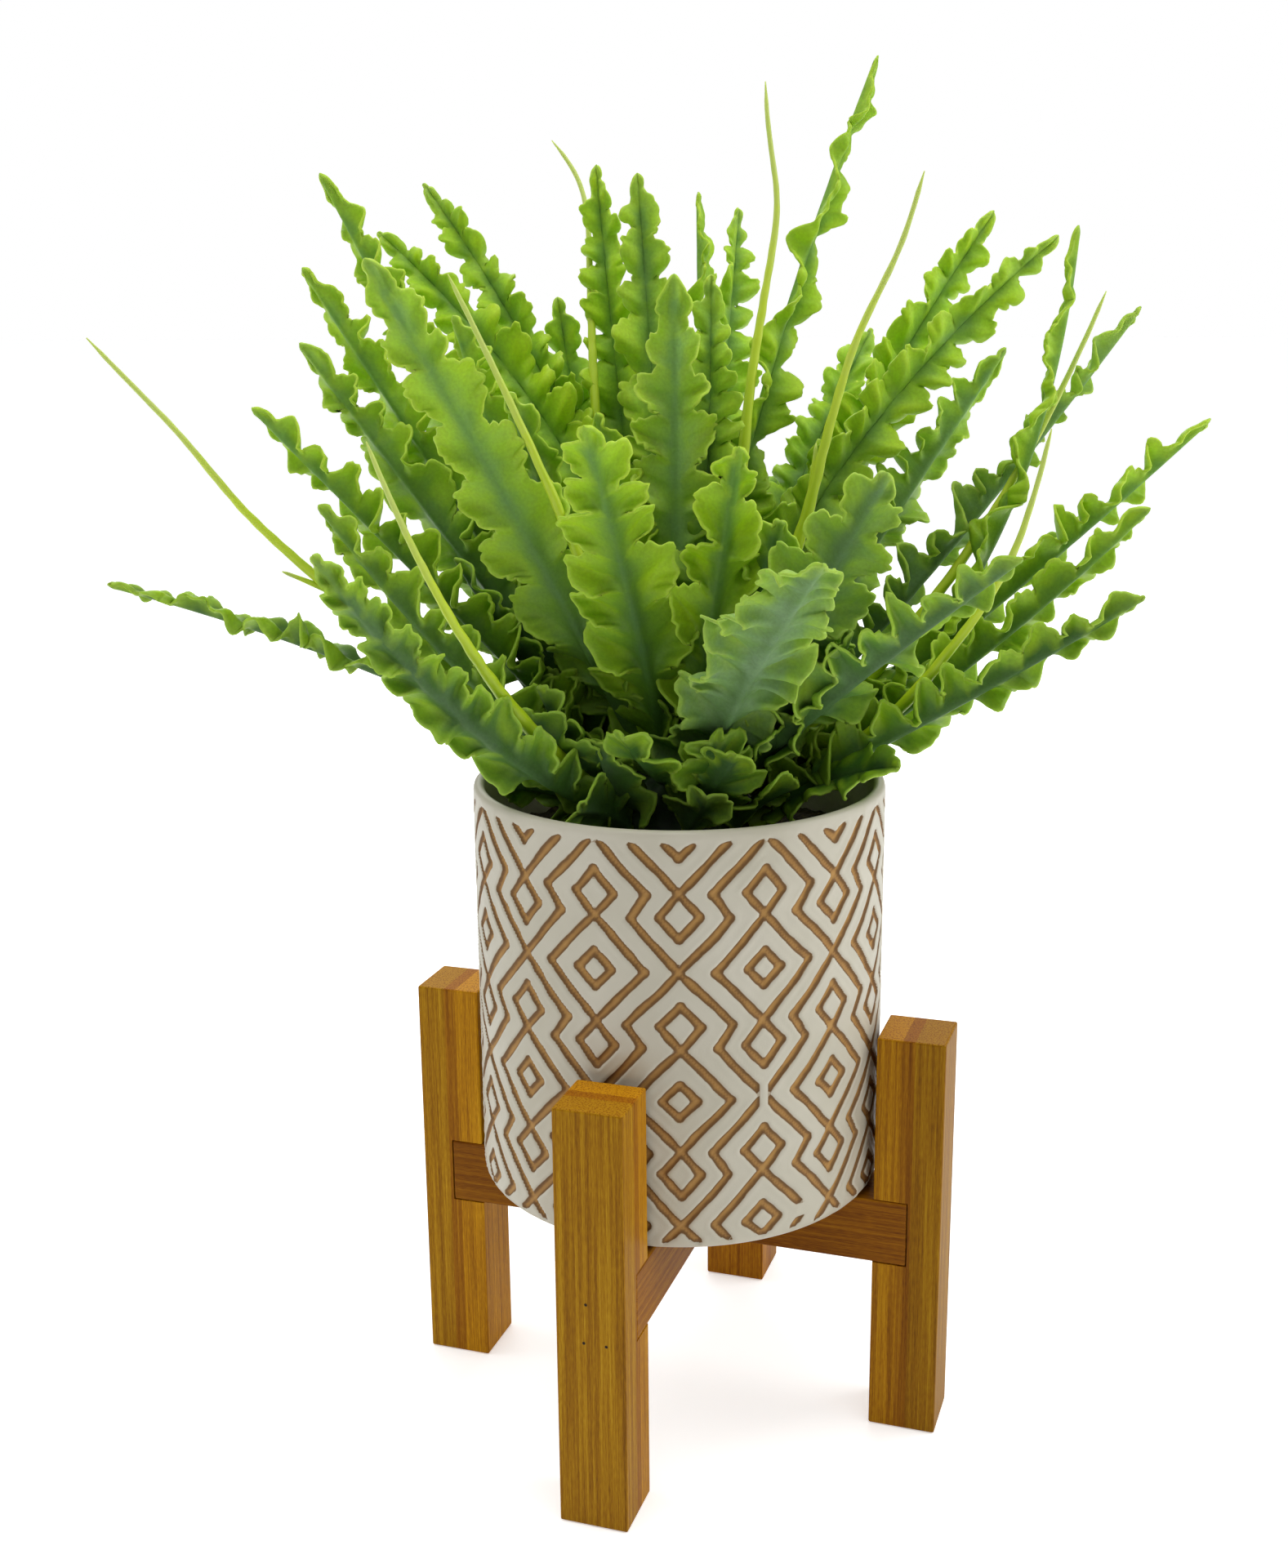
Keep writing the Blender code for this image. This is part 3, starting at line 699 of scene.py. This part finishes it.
def makeLeafPlastic():
    # soft moulded polyethylene, tinted in the mould and dusted by brush: a satin skin that lets some light
    # through, blue-green where it is thick at the midrib, with painted light: a yellow-green glow where it
    # is thin at the lobes, a pale painted highlight on the lip, brighter raised lobes and upper plant,
    # painted shade towards the pot; a grey-green bloom on some of the fronds
    material, tree, shader = newMaterial("dustedMouldedPolyethylene", Roughness=0.46, IOR=1.5)
    shader.inputs["Specular IOR Level"].default_value = 0.16
    shader.inputs["Subsurface Weight"].default_value = 0.3
    shader.inputs["Subsurface Radius"].default_value = (0.6, 1.0, 0.2)
    shader.inputs["Subsurface Scale"].default_value = 2.2 * mm
    place = addNode(tree, "ShaderNodeTexCoord").outputs["Object"]
    shapeMap = addNode(tree, "ShaderNodeAttribute", attribute_name="shape").outputs["Vector"]
    shape = addNode(tree, "ShaderNodeSeparateXYZ", {"Vector": shapeMap})
    kindMap = addNode(tree, "ShaderNodeAttribute", attribute_name="kind").outputs["Vector"]
    kind = addNode(tree, "ShaderNodeSeparateXYZ", {"Vector": kindMap})
    fromRib, fromRim, lumpGlow = shape.outputs["X"], shape.outputs["Y"], shape.outputs["Z"]
    tone, bloom, along = kind.outputs["X"], kind.outputs["Y"], kind.outputs["Z"]
    cloud = addNode(tree, "ShaderNodeTexNoise", {"Vector": place, "Scale": perMm(9.0), "Detail": 3.0})
    grain = addNode(tree, "ShaderNodeTexNoise", {"Vector": place, "Scale": perMm(1.1), "Detail": 3.0})
    # from the midrib outwards
    ribPlace = addNode(tree, "ShaderNodeMath", {0: cloud, 1: -5.0, 2: fromRib}, operation="MULTIPLY_ADD")
    ribShare = addNode(tree, "ShaderNodeMapRange", {"Value": ribPlace, "From Min": -3.0, "From Max": 9.0})
    dark = addNode(tree, "ShaderNodeValToRGB", {"Fac": ribShare},
                   stops=[(0.0, "#2C4F1E"), (0.2, "#345B12"), (0.5, "#457208"), (1.0, "#64940A")])
    light = addNode(tree, "ShaderNodeValToRGB", {"Fac": ribShare},
                    stops=[(0.0, "#6A983A"), (0.2, "#84B02E"), (0.5, "#A8D026"), (1.0, "#C6E42C")])
    # painted light: the upper part of the plant is made lighter, for the glow of the backlit top
    height = addNode(tree, "ShaderNodeSeparateXYZ", {"Vector": place}).outputs["Z"]
    above = addNode(tree, "ShaderNodeMapRange", {"Value": height, "From Min": 0.30, "From Max": 0.44,
                                                 "To Min": -0.35, "To Max": 1.1})
    toneAndTopLight = addNode(tree, "ShaderNodeMath", {0: above, 1: tone}, operation="ADD", use_clamp=True)
    toned = addNode(tree, "ShaderNodeMix", {"Factor": toneAndTopLight, "A": dark,
                                            "B": light}, data_type="RGBA")
    rise = addNode(tree, "ShaderNodeMapRange", {"Value": lumpGlow, "From Min": 0.2, "From Max": 1.1,
                                                "To Max": 0.85})
    dust = addNode(tree, "ShaderNodeMapRange", {"Value": cloud, "From Min": 0.3, "From Max": 0.7,
                                                "To Min": 0.45, "To Max": 1.0})
    dusted = addNode(tree, "ShaderNodeMath", {0: dust, 1: bloom}, operation="MULTIPLY")
    rimPlace = addNode(tree, "ShaderNodeMath", {0: cloud, 1: 7.0, 2: fromRim}, operation="MULTIPLY_ADD")
    marginGlow = addNode(tree, "ShaderNodeMapRange", {"Value": rimPlace, "From Min": 2.6, "From Max": 9.0,
                                                "To Min": 0.6, "To Max": 0.0})
    # painted highlight along the thin edge
    lip = addNode(tree, "ShaderNodeMapRange", {"Value": fromRim, "From Min": 0.1, "From Max": 0.9,
                                               "To Min": 0.2, "To Max": 0.0})
    # painted shade: darker towards the foot, over the part of the blade that the others shade
    foot = addNode(tree, "ShaderNodeMapRange", {"Value": along, "From Min": 0.0, "From Max": 0.5,
                                                "To Min": 0.45, "To Max": 0.0})
    layers = (
        (rise, "#B0D212"),  # painted light: raised lobes glow as if more light came through them
        (dusted, "#7E9C72"),  # the brushed bloom
        (marginGlow, "#A6C92C"),  # painted light: a yellow-green glow along the thin margin, as if light came through it
        (lip, "#C2D66A"),  # painted highlight: a pale lip along the edge
        (foot, "#3C6414"),  # painted shade: towards the pot, in the shade of the others, the blades are deeper green
    )
    layered = toned
    for share, tint in layers:
        layered = addNode(tree, "ShaderNodeMix", {"Factor": share, "A": layered, "B": tint},
                          data_type="RGBA")
    speck = addNode(tree, "ShaderNodeMapRange", {"Value": grain, "From Min": 0.3, "From Max": 0.7,
                                                 "To Min": 0.9, "To Max": 1.08})
    colour = addNode(tree, "ShaderNodeMix", {"Factor": 1.0, "A": layered,
                                             "B": speck}, data_type="RGBA", blend_type="MULTIPLY")
    tree.links.new(colour.outputs["Result"], shader.inputs["Base Color"])
    rough = addNode(tree, "ShaderNodeMapRange", {"Value": dusted, "To Min": 0.42, "To Max": 0.68})
    tree.links.new(rough.outputs[0], shader.inputs["Roughness"])
    bump = addNode(tree, "ShaderNodeBump", {"Height": grain, "Strength": 0.25, "Distance": 0.25 * mm})
    tree.links.new(bump.outputs["Normal"], shader.inputs["Normal"])
    return material


def through(points, count):
    # a smooth curve through the points, read at even steps of its own count
    padded = np.vstack([2 * points[0] - points[1], points, 2 * points[-1] - points[-2]])
    place = np.linspace(0, len(points) - 1 - 1e-9, count)
    k = place.astype(int)
    t = (place - k)[:, None]
    a, b, c, d = (padded[k + i] for i in range(4))
    bow = (2 * a - 5 * b + 4 * c - d) * t ** 2
    return 0.5 * (2 * b + (c - a) * t + bow + (3 * b - a - 3 * c + d) * t ** 3)


def evenly(path, step, *others):
    # the same lines read at even distances along the path
    length = np.concatenate([[0], np.cumsum(np.linalg.norm(np.diff(path, axis=0), axis=1))])
    wanted = np.linspace(0, length[-1], max(12, int(length[-1] / step)))
    read = [np.stack([np.interp(wanted, length, line[:, i]) for i in range(3)], -1)
            for line in (path, *others)]
    return wanted, read


def hopsFromTip(name, startPoints):
    # the CAD mesh's points, merged, and each one's distance in edges from the tip
    mesh = nodes[name].data
    points = np.array([v.co for v in mesh.vertices]) / mm
    merged, index = np.unique(np.round(points, 2), axis=0, return_inverse=True)
    index = index.ravel()
    edges = np.array([(index[e.vertices[0]], index[e.vertices[1]]) for e in mesh.edges])
    hops = np.full(len(merged), -1)
    front = startPoints(merged)
    hops[front] = 0
    step = 0
    while len(front):
        step += 1
        ahead = edges[np.isin(edges[:, 0], front), 1]
        behind = edges[np.isin(edges[:, 1], front), 0]
        touched = np.concatenate([ahead, behind])
        front = np.unique(touched[hops[touched] < 0])
        hops[front] = step
    return merged, hops


heartPlace = np.array([0.0, 0.0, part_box("crown")[0].z / mm])


def frondLine(name):
    # the middle line, width direction and upper normal of a CAD strap, from stalk to tip
    points, hops = hopsFromTip(name, lambda p: np.array([np.linalg.norm(p - heartPlace, axis=1).argmax()]))
    middles, widths = [], []
    for ring in range(hops.max(), 0, -1):
        four = points[hops == ring]
        apart = np.linalg.norm(four[:, None] - four[None], axis=-1)
        left, right = np.unravel_index(apart.argmax(), apart.shape)
        others = [k for k in range(len(four)) if k not in (left, right)]
        line = unit(four[right] - four[left])
        offsets = [four[k] - four[left] for k in others]
        away = [np.linalg.norm(offset - (offset @ line) * line) for offset in offsets]
        top, keel = (others if away[0] < away[1] else others[::-1])
        middles.append(four[keel] + (four[top] - four[keel]) * 1.3 / 1.8)
        upper = unit(four[top] - four[keel])
        widths.append((line, upper))
    middles.append(points[hops == 0][0])
    middles = np.array(middles)
    tangents = unit(np.gradient(middles, axis=0))
    across = []
    for tangent, (line, upper) in zip(tangents, widths + widths[-1:]):
        side = line if np.dot(np.cross(tangent, line), upper) > 0 else -line
        across.append(side)
    return middles, np.array(across)


def margin(length, half, look, dice):
    # one side's outline, read every 0.1 mm: distance from the midrib, phase of the lobes,
    # ruffle's strength and how far a place slides so that rows are even along the lobed edge
    s = np.arange(0, length, 0.1)
    t = s / length
    lobes = [length * look["swell"] * dice.uniform(0.15, 0.4)]
    while lobes[-1] < length - 2.0:
        here = lobes[-1] / length
        step = look["pitch"] * (1.0 - 0.38 * here) * dice.uniform(0.62, 1.45)
        lobes.append(lobes[-1] + step)
    lobes[-1] = max(length, lobes[-2] + 3.0)
    lobes = np.array([0.0] + lobes)
    k = np.clip(np.searchsorted(lobes, s, side="right") - 1, 0, len(lobes) - 2)
    u = (s - lobes[k]) / (lobes[k + 1] - lobes[k])
    notch = 1.0 - look["depth"] * dice.uniform(0.7, 1.2, len(lobes))
    peak = dice.uniform(0.86, 1.12, len(lobes))
    strength = look["ruffle"] * dice.uniform(0.35, 1.5, len(lobes))
    strength = strength * np.where(dice.random(len(lobes)) < 0.14, -0.6, 1)
    floor = notch[k] + (notch[k + 1] - notch[k]) * u
    hump = ease(u / 0.62) ** 0.8 * ease((1 - u) / 0.2) ** 0.8
    shape = floor + (peak[k] - floor) * hump
    shape = np.where(k == 0, floor[0] + (notch[1] - floor[0]) * ease(u), shape)
    reach = half(t) * shape
    ruffle = (strength[k] + (strength[k + 1] - strength[k]) * ease(u)) * np.cos(math.tau * (u - 0.74))
    ruffle = np.where(k == 0, 0.0, ruffle)
    run = np.concatenate([[0], np.cumsum(np.hypot(np.diff(s), np.diff(reach)))])
    starts = np.minimum((lobes / 0.1).astype(int), len(s) - 1)
    ran = run[starts]
    after = np.minimum(k + 1, len(starts) - 1)
    span = s[starts[after]] - s[starts[k]]
    even = s[starts[k]] + span * (run - ran[k]) / np.maximum(ran[after] - ran[k], 1e-6)
    even = np.maximum.accumulate(even + 1e-6 * s)
    # small round teeth all along the lobes
    wander = 1.3 * waves(run, 0 * run, 14.0, int(dice.integers(1e6)))
    teeth = np.abs(np.sin(math.pi * run / look["scallopPitch"] + wander))
    teeth = look["scallop"] * (teeth ** 0.8 - 0.55) * ease(t / 0.15) * ease((1 - t) / 0.14)
    slope = np.gradient(reach, s)
    bend = np.sqrt(1 + slope ** 2)
    return {"s": s, "even": even, "reach": reach + teeth / bend, "slide": -teeth * slope / bend,
            "ruffle": ruffle, "phase": k + u}


def makeFrond(name, middle, across, look, material, seed):
    dice = np.random.default_rng(seed)
    line = through(middle, 400)
    side = through(across, 400)
    s, (path, side) = evenly(line, look["rowStep"], side)
    length = s[-1]
    tangent = unit(np.gradient(path, axis=0))
    side = unit(side - tangent * np.sum(side * tangent, -1, keepdims=True))
    upper = np.cross(tangent, side)
    full = look["width"] / 2

    def half(t):
        swell = ease(t / look["swell"])
        taper = np.clip((1 - t) / look["taper"], 0, 1)
        point = np.clip((1 - t) / 0.07, 0, 1) ** 0.8
        narrowing = look["tipShare"] + (1 - look["tipShare"]) * np.sin(taper * math.pi / 2)
        return (1.9 + (full - 1.9) * swell) * narrowing * point + 0.12

    shares = np.array(look["columns"])
    t = s / length
    halves = half(t)
    wide = halves / full
    start = dice.uniform(0, math.tau)
    sheets = []
    for sign in (1, -1):
        edge = margin(length, half, look, dice)
        at = np.interp(s, edge["even"], edge["s"])
        reach = np.interp(at, edge["s"], edge["reach"])
        slide = np.interp(at, edge["s"], edge["slide"])
        ruffle = np.interp(at, edge["s"], edge["ruffle"])
        u = np.interp(at, edge["s"], edge["phase"]) % 1.0
        crinkle = 0.5 * waves(at, 0 * at, 6.0, seed * 7 + sign)
        v = shares[None, :]
        along = s[:, None] + (at - s + slide)[:, None] * v ** 1.5 + (look["lean"] * wide)[:, None] * v ** 1.6
        along = np.clip(along, 0, length)
        out = reach[:, None] * v
        rise = math.tan(math.radians(look["cup"])) * out * (1 - 0.35 * v)
        rise = rise + (ruffle * wide)[:, None] * v ** 1.9
        slow = look["wave"] * np.sin(math.tau * along / look["waveLength"] + start)
        rise = rise + slow * wide[:, None] * v ** 1.6
        rise = rise + (crinkle * wide)[:, None] * v ** 4
        puff = (np.sin(math.pi * u ** 1.2) ** 2)[:, None] * np.sin(math.pi * v ** 1.3) ** 1.3
        rise = rise + look["pucker"] * wide[:, None] * puff
        rise = rise - 0.7 * np.exp(-(out / 1.3) ** 2)
        place = [np.interp(along, s, path[:, i]) for i in range(3)]
        outward = [np.interp(along, s, side[:, i]) for i in range(3)]
        normal = [np.interp(along, s, upper[:, i]) for i in range(3)]
        place, outward, normal = (np.stack(part, -1) for part in (place, outward, normal))
        sheet = place + sign * outward * out[..., None] + normal * rise[..., None]
        # painted light: a glow on the raised middle of each lobe, stronger where the lobe is ruffled
        glow = puff * (0.75 + 0.5 * waves(s, 0 * s, 30.0, seed * 5 + sign))[:, None]
        sheets.append((sheet, out, reach, glow + 0.25 * (ruffle / 4.8)[:, None] * v ** 2))
    left, right = sheets
    surface = np.concatenate([left[0][:, ::-1], right[0][:, 1:]], 1)
    out = np.concatenate([left[1][:, ::-1], right[1][:, 1:]], 1)
    rim = np.concatenate([(left[2][:, None] - left[1])[:, ::-1], (right[2][:, None] - right[1])[:, 1:]], 1)
    lumpGlow = np.concatenate([left[3][:, ::-1], right[3][:, 1:]], 1)
    normals = np.cross(np.gradient(surface, axis=0), -np.gradient(surface, axis=1))
    normals = unit(unit(normals) + 0.15 * upper[:, None])
    fade = (1 - 0.55 * t)[:, None]
    thick = look["blade"] * (0.8 + 0.2 * fade) + look["rib"] * fade * np.exp(-(out / 2.2) ** 2)
    thick = thick * (1 + 0.25 * np.exp(-(rim / 0.8) ** 2)) * ease((1 - t) / 0.02 + 0.35)[:, None]
    top = surface + normals * (0.4 * thick)[..., None]
    under = surface - normals * (0.6 * thick)[..., None]
    leftLip = surface[:, 0] + unit(surface[:, 0] - surface[:, 1]) * 0.5 * thick[:, :1]
    rightLip = surface[:, -1] + unit(surface[:, -1] - surface[:, -2]) * 0.5 * thick[:, -1:]
    rings = np.concatenate([top, rightLip[:, None], under[:, ::-1], leftLip[:, None]], 1)

    def wrap(values, lip):
        lips = np.full((len(s), 1), lip)
        return np.concatenate([values, lips, values[:, ::-1], lips], 1)

    shape = np.stack([wrap(out, full), wrap(np.maximum(rim, 0), 0.0), wrap(lumpGlow, 0.5)], -1)
    kind = np.zeros_like(shape)
    kind[..., 0] = look["tone"]
    kind[..., 1] = look["bloom"]
    kind[..., 2] = look["lit"] * t[:, None]
    return loft(name, rings, material, {"shape": shape, "kind": kind})


def makeFronds(material):
    for index in range(1, 44):
        node = f"frond_{index:02d}"
        dice = np.random.default_rng(500 + index)
        look = dict(frond)
        look["width"] *= dice.uniform(0.88, 1.08)
        look["pitch"] *= dice.uniform(0.9, 1.1)
        look["tone"] = dice.uniform(0.3, 0.75)
        look["bloom"] = dice.uniform(0.0, 0.2)
        look.update(ownLook.get(node, {}))
        middle, across = frondLine(node)
        piece = makeFrond(f"lobedFrond_{index:02d}", middle, across, look, material, index)
        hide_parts(node)


# Young leaves round the foot of the plant, which fill the mouth of the pot
youngLeaf = {
    "count": 30,
    "start": 30.0,  # from the crown's middle to where they begin
    "over": 252.0,  # height at which the low ones pass over the rim
    # ranges in degrees or mm, for the steep leaves and for the low ones
    "lift": ((30, 60), (14, 24)),
    "reach": ((56, 82), (74, 88)),
    "tipHeight": ((272, 330), (250, 262)),
    "bendReach": (46, 56),
    "bendHeight": (252, 268),
    # at the front they stay shorter
    "frontReach": (50, 68),
    "frontTipHeight": ((262, 288), (243, 252)),
    "frontBendShare": (0.9, 0.8),
    "frontBendHeight": (240, 250),
    "look": {"swell": 0.2, "taper": 0.45, "ruffle": 2.4, "pucker": 1.6, "scallop": 1.2, "wave": 3.0,
             "waveLength": 26.0, "rib": 1.0},
}


def makeYoungLeaves(material):
    for index in range(youngLeaf["count"]):
        dice = np.random.default_rng(900 + index)
        turn = math.tau * (index + dice.uniform(-0.45, 0.45)) / youngLeaf["count"]
        out = np.array([math.cos(turn), math.sin(turn), 0.0])
        left = np.array([-out[1], out[0], 0.0])
        low = int(index % 3 == 0)  # 0 for a steep leaf, 1 for a low one
        front = out[1] < -0.5
        lift = math.radians(dice.uniform(*youngLeaf["lift"][low]))
        first = heartPlace + youngLeaf["start"] * (out * math.cos(lift) + np.array([0, 0, math.sin(lift)]))
        reach = dice.uniform(*youngLeaf["reach"][low])
        tip = out * reach + left * dice.uniform(-20, 20)
        tip[2] = dice.uniform(*youngLeaf["tipHeight"][low])
        if front:
            tip = out * dice.uniform(*youngLeaf["frontReach"]) + left * dice.uniform(-14, 14)
            tip[2] = dice.uniform(*youngLeaf["frontTipHeight"][low])
        bend = out * youngLeaf["bendReach"][low] + left * dice.uniform(-8, 8)
        bend[2] = youngLeaf["over"] if low else dice.uniform(*youngLeaf["bendHeight"])
        if front:
            bend *= youngLeaf["frontBendShare"][low]
            bend[2] = dice.uniform(*youngLeaf["frontBendHeight"])
        t = np.linspace(0, 1, 12)[:, None]
        middle = (1 - t) ** 2 * first + 2 * t * (1 - t) * bend + t ** 2 * tip
        tilt = dice.uniform(-0.9, 0.9) * (1.4 if front else 1.0)
        across = np.tile(left * math.cos(tilt) + np.array([0, 0, math.sin(tilt)]), (12, 1))
        look = dict(frond)
        look.update(youngLeaf["look"])
        look["width"] = dice.uniform(24, 34)
        look["pitch"] = dice.uniform(14, 18)
        # painted shade: at the front the young leaves get the darkest tone and the least lit length, as they
        # sit under the fronds
        look["tone"] = 0.0 if front else dice.uniform(0.0, 0.35)
        look["bloom"] = dice.uniform(0.1, 0.5)
        look["lit"] = 0.4 if front else 0.6
        piece = makeFrond(f"youngLeaf_{index + 1:02d}", middle, across, look, material, 900 + index)


leafPlastic = makeLeafPlastic()
makeFronds(leafPlastic)
makeYoungLeaves(leafPlastic)
print("fronds made")


# Shoots: thin bare runners, thick at the foot and as fine as a bristle at the end
shoot = {
    "foot": 3.6,  # radius at the crown
    "lower": 2.5,
    "middle": 1.6,
    "end": 0.75,
    "tip": 0.2,
    "twig": (1.3, 1.0, 0.6, 0.2),  # radii of a side twig from its fork to its tip
    "around": 12,
    "rowStep": 1.6,
}


def makeRunnerPlastic():
    # the same polyethylene in a lighter tint, unbrushed: waxy yellow-green, paler towards the end
    material, tree, shader = newMaterial("mouldedPolyethyleneRunner", Roughness=0.42, IOR=1.5)
    shader.inputs["Subsurface Weight"].default_value = 0.3
    shader.inputs["Subsurface Radius"].default_value = (0.8, 1.0, 0.2)
    shader.inputs["Subsurface Scale"].default_value = 1.5 * mm
    place = addNode(tree, "ShaderNodeTexCoord").outputs["Object"]
    kindMap = addNode(tree, "ShaderNodeAttribute", attribute_name="kind").outputs["Vector"]
    kind = addNode(tree, "ShaderNodeSeparateXYZ", {"Vector": kindMap})
    cloud = addNode(tree, "ShaderNodeTexNoise", {"Vector": place, "Scale": perMm(5.0), "Detail": 3.0})
    share = addNode(tree, "ShaderNodeMath", {0: cloud, 1: 0.25, 2: kind.outputs["Z"]},
                    operation="MULTIPLY_ADD")
    tint = addNode(tree, "ShaderNodeValToRGB", {"Fac": share},
                   stops=[(0.2, "#8DB31C"), (0.5, "#BCD81E"), (0.8, "#CCE03A"), (1.0, "#C4D468")])
    tree.links.new(tint.outputs["Color"], shader.inputs["Base Color"])
    bump = addNode(tree, "ShaderNodeBump", {"Height": cloud, "Strength": 0.2, "Distance": 0.3 * mm})
    tree.links.new(bump.outputs["Normal"], shader.inputs["Normal"])
    return material


# how far a shoot strays from its CAD line, in mm: (share of its length, to the right, to the back)
stray = {
    "shoot_2": ((0, 0, 0), (0.6, 0, 0), (0.73, 3, 0), (0.84, 6.5, 0), (0.94, 1, 0), (1, 0, 0)),
    "shoot_3": ((0, 0, 0), (0.3, 8, 0), (0.48, 7, 0), (0.62, 3, 0), (0.76, 0, 0), (0.9, 3, 0), (1, 0, 0)),
    "shoot_5": ((0, 0, 0), (0.3, -8, 26), (0.6, -4, 18), (0.8, 0, 4), (1, 0, 0)),
    "shoot_7": ((0, 0, 0), (0.5, 0, 0), (0.7, -2, 0), (0.85, 2.5, 0), (1, 0, 0)),
    "shoot_8": ((0, 0, 0), (0.5, 1, 0), (0.72, 6.5, 0), (0.9, 11, 0), (0.97, 7, 0), (1, 0, 0)),
}


# side twigs: (share of the shoot's length where it forks, mm to the right, mm up)
twigs = {
    "shoot_7": (0.55, -14, 4),
    "shoot_1": (0.48, -7, 15),
    "shoot_3": (0.52, 1, 17),
}


def viewSides():
    # unit directions to the right and to the back, as the camera looks
    facing = math.radians(camera["azimuth"])
    right = np.array([math.cos(facing), math.sin(facing), 0.0])
    back = np.array([-math.sin(facing), math.cos(facing), 0.0])
    return right, back


def straying(name, line):
    rows = np.array(stray.get(name, ((0, 0, 0), (1, 0, 0))), float)
    share = np.linspace(0, 1, len(line))
    bends = np.stack([np.interp(share, rows[:, 0], rows[:, i]) for i in (1, 2)], -1)
    for _ in range(3):
        bends[1:-1] = (bends[:-2] + 2 * bends[1:-1] + bends[2:]) / 4
    right, back = viewSides()
    return line + bends[:, :1] * right + bends[:, 1:] * back


def shootLine(name):
    def tipRing(points):
        away = np.linalg.norm(points - heartPlace, axis=1)
        return np.nonzero(np.linalg.norm(points - points[away.argmax()], axis=1) < 3.2)[0]

    points, hops = hopsFromTip(name, tipRing)
    return np.array([points[hops == ring].mean(0) for ring in range(hops.max(), -1, -1)])


def makeTube(name, line, radii, material):
    s, (path,) = evenly(through(line, 300), shoot["rowStep"])
    t = s / s[-1]
    tangent = unit(np.gradient(path, axis=0))
    side = unit(np.cross(tangent, np.array([0.31, 0.95, 0.05])))
    upper = np.cross(tangent, side)
    turn = np.arange(shoot["around"]) * math.tau / shoot["around"]
    uneven = 1 + 0.06 * waves(s[:, None], turn[None] * 3, 11.0, len(path))
    radius = np.interp(t, radii[0], radii[1])[:, None] * uneven
    sideways = side[:, None] * (radius * np.cos(turn))[..., None]
    upwards = upper[:, None] * (radius * np.sin(turn))[..., None]
    rings = path[:, None] + sideways + upwards
    kind = np.zeros(rings.shape)
    kind[..., 2] = t[:, None]
    return loft(name, rings, material, {"kind": kind})


def makeShoots(material):
    for index in range(1, 9):
        node = f"shoot_{index}"
        line = straying(node, through(shootLine(node), 40))
        sizes = [shoot[key] for key in ("foot", "lower", "middle", "end", "tip")]
        radii = ((0, 0.3, 0.6, 0.97, 1.0), sizes)
        piece = makeTube(f"runner_{index}", line, radii, material)
        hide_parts(node)
        if node in twigs:
            share, sideways, up = twigs[node]
            fork = int(share * len(line))
            tip = line[fork] + sideways * viewSides()[0] + np.array([0.0, 0.0, up])
            start, t = line[fork - 1], np.linspace(0, 1, 8)[:, None]
            bend = start + 0.5 * (tip - start) + 1.5 * unit(line[fork + 1] - line[fork])
            curve = (1 - t) ** 2 * start + 2 * t * (1 - t) * bend + t ** 2 * tip
            twigRadii = ((0, 0.5, 0.95, 1.0), shoot["twig"])
            twig = makeTube(f"sideTwig_{index}", curve, twigRadii, material)


makeShoots(makeRunnerPlastic())
print("shoots made")
